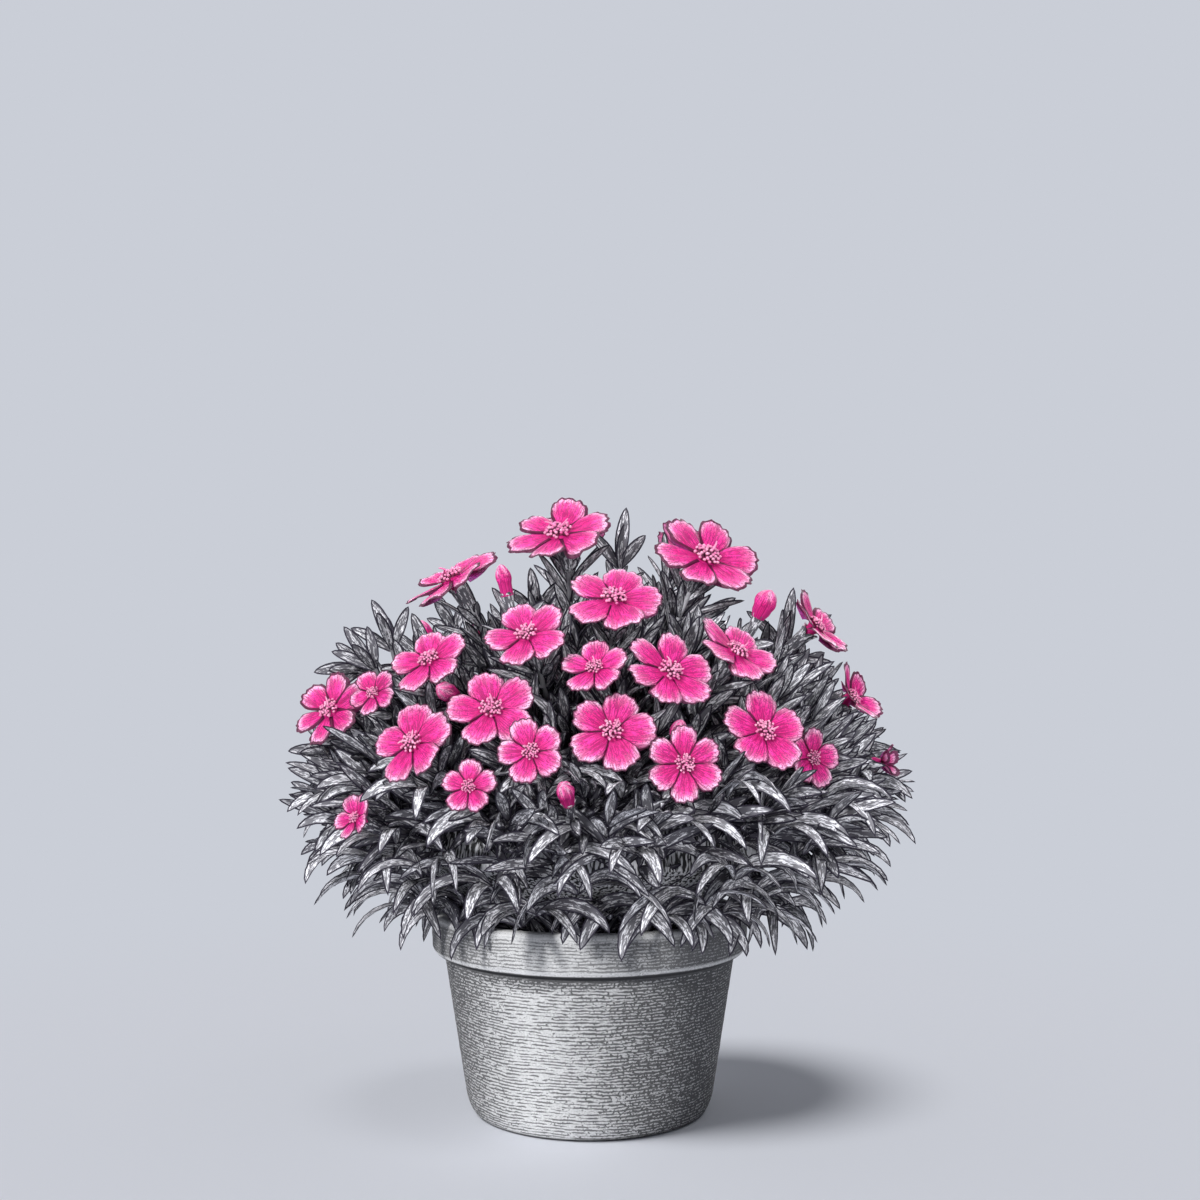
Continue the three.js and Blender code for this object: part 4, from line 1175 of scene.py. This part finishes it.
def add_stalks(material):
    """Stalks from the heart of the bush, and calyx tubes with five teeth round the petals' necks."""
    mesh = Mesh()
    rng = np.random.default_rng(21)
    for number, (mouth, normal, share) in enumerate(STALKS):
        root, base = stalk_line(mouth, normal, share)
        bow = np.cross(unit(base - root), UP) * rng.uniform(-1.5, 1.5)
        path = [root, root * 0.6 + base * 0.4 + bow, root * 0.25 + base * 0.75 + bow * 0.7, base + normal]
        bare = number >= len(HEADS)
        if bare:
            path.append(mouth)
        points, faces = tube(path, STALK_RADIUS * np.array([1.3, 1.1, 1, 1, 1])[: len(path)], 8)
        seed = rng.uniform(0, 1000)
        # The third shape is painted shade, from how deep the stalk lies in the bush.
        mesh.add(points, faces, (0, 0, seed), vectors(1, 0.8, depth_in_bush(points)))
        if bare:
            continue
        length, foot = CALYX["length"] * share, CALYX["base"] * share
        lip = CALYX["mouth"] * share + 0.25
        profile = [(0, -length - 0.6), (foot * 0.7, -length - 0.3), (foot, -length + 1)]
        profile += [(foot + (lip - foot) * s, -length * (1 - s)) for s in (0.3, 0.6, 0.85)]
        profile += [(lip, 0), (lip + 0.25, 1.2), (lip - 0.3, 1.2), (lip - 0.5, -1), (0, -1)]
        points, faces = lathe(profile, 30)
        angle = np.arctan2(points[:, 1], points[:, 0])
        tooth = np.abs(np.cos(2.5 * angle)) * (points[:, 2] > 1)
        points[:, 2] += (2.2 * tooth - 1.2 * (points[:, 2] > 1)) * share
        points[:, :2] *= ((1 + 0.25 * tooth) * (1 + 0.05 * np.cos(10 * angle)))[:, None]
        mark = vectors(angle * foot, points[:, 2], seed)
        points = points @ turn_to(normal) + mouth
        # Painted shade: the calyx is darkened by its depth in the bush and a further 0.6.
        mesh.add(points, faces, mark, vectors(0.9, 0.9, depth_in_bush(points) + 0.6))
    mesh.build("stalks_and_calyces", [material], ["leafy_bush"])


def add_core(material):
    """The mass of stems inside the bush, dark with painted shade, from its crown in the soil to near the
    top.
    """
    profile = [(0, 58), (14, 58), (15, 72), (24, 76), (42, 82), (58, 92)]
    for polar in np.radians(np.linspace(92, 6, 14)):
        profile.append((CORE["radius"] * math.sin(polar), CORE["height"] + CORE["rise"] * math.cos(polar)))
    profile.append((0, CORE["height"] + CORE["rise"]))
    points, faces = lathe(profile, 72)
    bump = 1 + 0.035 * ripple(points, 0.12, 31) * np.clip((points[:, 2] - 80) / 10, 0, 1)
    middle = UP * CORE["height"]
    mesh = Mesh()
    mesh.add((points - middle) * bump[:, None] + middle, faces)
    mesh.build("painted_shade_and_stems", [material], ["leafy_bush"])


# ---- the plant ----------------------------------------------------------------------------------

leaf_finish = leaf_material()
flower_finishes = [petal_material(), tuft_material()]

add_pot(clay_material())
add_soil(soil_material())
add_core(core_material())
add_stalks(leaf_finish)

ROOM = {"front": 16, "side": 0.8, "back": 1.6}
# Each batch's painted shade is added to how deep its leaves lie; below 0 it lightens them.
for name, shade, leaves in (
    ("sprig_leaves", 0.5, sprig_leaves(46)),
    ("arching_leaves", -0.3, fan_leaves(41)),
    ("inner_leaves", 0.35, inner_leaves(860, 45)),
    ("crown_leaves", -0.4, crown_leaves(260, 47)),
    ("shoot_leaves", 0.15, shoot_leaves(150, 42)),
    ("more_shoot_leaves", 0.35, shoot_leaves(120, 44)),
    ("stalk_leaves", 0.1, stalk_leaves(43)),
):
    foliage = Mesh()
    add_leaves(foliage, fitted(leaves, ROOM), shade)
    foliage.build(name, [leaf_finish], ["leafy_bush"], sharp=40)

for i, row in enumerate(BLOOMS):
    add_bloom(i + 1, row, flower_finishes)
for i, row in enumerate(BUDS):
    add_bud(i + 1, row, flower_finishes)


# ---- stage --------------------------------------------------------------------------------------

BACKGROUND = (0.591, 0.617, 0.680, 1)
CAMERA = {"place": (0, -0.628, 0.1804), "lens": 45, "sensor": 36, "turn": (92.6, 0, -0.382)}


def add_stage_piece(name):
    """Names the mesh that was just added, and gives it a material that glows in the background's
    colour. Returns the piece, the glow and the input of its material's surface."""
    piece = bpy.context.object
    piece.name = name
    material = bpy.data.materials.new(name)
    material.use_nodes = True
    tree = material.node_tree
    tree.nodes.remove(tree.nodes["Principled BSDF"])
    glow = node(tree, "ShaderNodeEmission", {"Color": BACKGROUND})
    surface = tree.nodes["Material Output"].inputs[0]
    tree.links.new(glow.socket, surface)
    piece.data.materials.append(material)
    return piece, glow, surface


def add_backdrop():
    """A sphere that is seen, but gives no light."""
    bpy.ops.mesh.primitive_uv_sphere_add(segments=64, ring_count=32, radius=9)
    backdrop, _, _ = add_stage_piece("backdrop")
    for ray in ("diffuse", "glossy", "transmission", "volume_scatter", "shadow"):
        setattr(backdrop, f"visible_{ray}", False)


def add_floor():
    """A pale matt floor that fades into the background away from the pot."""
    bpy.ops.mesh.primitive_plane_add(size=14)
    floor, glow, surface = add_stage_piece("floor")
    place = node(glow.tree, "ShaderNodeTexCoord", {}, output="Object")
    away = node(glow.tree, "ShaderNodeVectorMath", {0: place}, output="Value", operation="LENGTH")
    matt = node(glow.tree, "ShaderNodeBsdfDiffuse", {"Color": (0.78, 0.80, 0.86, 1)})
    blend = node(glow.tree, "ShaderNodeMixShader", {0: away.band(0.25, 0.6), 1: matt, 2: glow})
    glow.tree.links.new(blend.socket, surface)
    return floor


def group(name, state, things):
    """A collection that limits a lamp to these things, or to all others."""
    collection = bpy.data.collections.new(name)
    for thing in things:
        collection.objects.link(thing)
    for link in collection.collection_objects:
        link.light_linking.link_state = state
    return collection


def add_suns(floor):
    scene = bpy.context.scene
    pot = bpy.data.objects["clay_pot"]
    foliage = [thing for thing in scene.objects if thing.name.endswith(("leaves", "stems", "calyces"))]
    flowers = [thing for thing in scene.objects if thing.name.startswith(("corolla", "furled"))]
    # The bearing and elevation that each sun shines from, its strength, its width in degrees, and
    # what it lights.
    suns = [
        ("key", -38, 26, 2.6, 8, "EXCLUDE", [floor]),
        ("fill", 24, 8, 1.6, 20, "EXCLUDE", [floor, pot]),
        ("above", -30, 75, 1.3, 30, "EXCLUDE", [floor]),
        ("behind", 150, 32, 1.7, 40, "EXCLUDE", [floor]),
        ("soft", 8, 22, 1.3, 90, "INCLUDE", foliage),
        ("soft_behind", 196, 24, 2.2, 90, "INCLUDE", foliage + flowers),
        ("left_floor", -64, 50, 2.12, 27, "INCLUDE", [floor]),
        ("right_floor", 75, 62, 0.3, 22, "INCLUDE", [floor]),
    ]
    for name, bearing, elevation, strength, width, state, things in suns:
        lamp = bpy.data.lights.new(name, "SUN")
        lamp.energy = strength
        lamp.angle = math.radians(width)
        sun = bpy.data.objects.new(name, lamp)
        scene.collection.objects.link(sun)
        sun.rotation_euler = Vector(heading(bearing, elevation)).to_track_quat("Z", "Y").to_euler()
        sun.light_linking.receiver_collection = group(f"lit_by_{name}", state, things)
        if things == [floor] and state == "INCLUDE":
            sun.light_linking.blocker_collection = group(f"shading_{name}", "INCLUDE", [pot])


def add_world_and_camera():
    scene = bpy.context.scene
    scene.view_settings.view_transform = "Standard"
    scene.world = bpy.data.worlds.new("studio")
    scene.world.use_nodes = True
    sky = scene.world.node_tree.nodes["Background"]
    sky.inputs["Color"].default_value = BACKGROUND
    sky.inputs["Strength"].default_value = 0.26

    lens = bpy.data.cameras.new("camera")
    lens.lens = CAMERA["lens"]
    lens.sensor_width = CAMERA["sensor"]
    camera = bpy.data.objects.new("camera", lens)
    scene.collection.objects.link(camera)
    camera.location = CAMERA["place"]
    camera.rotation_euler = [math.radians(turn) for turn in CAMERA["turn"]]
    scene.camera = camera


add_world_and_camera()
add_backdrop()
add_suns(add_floor())
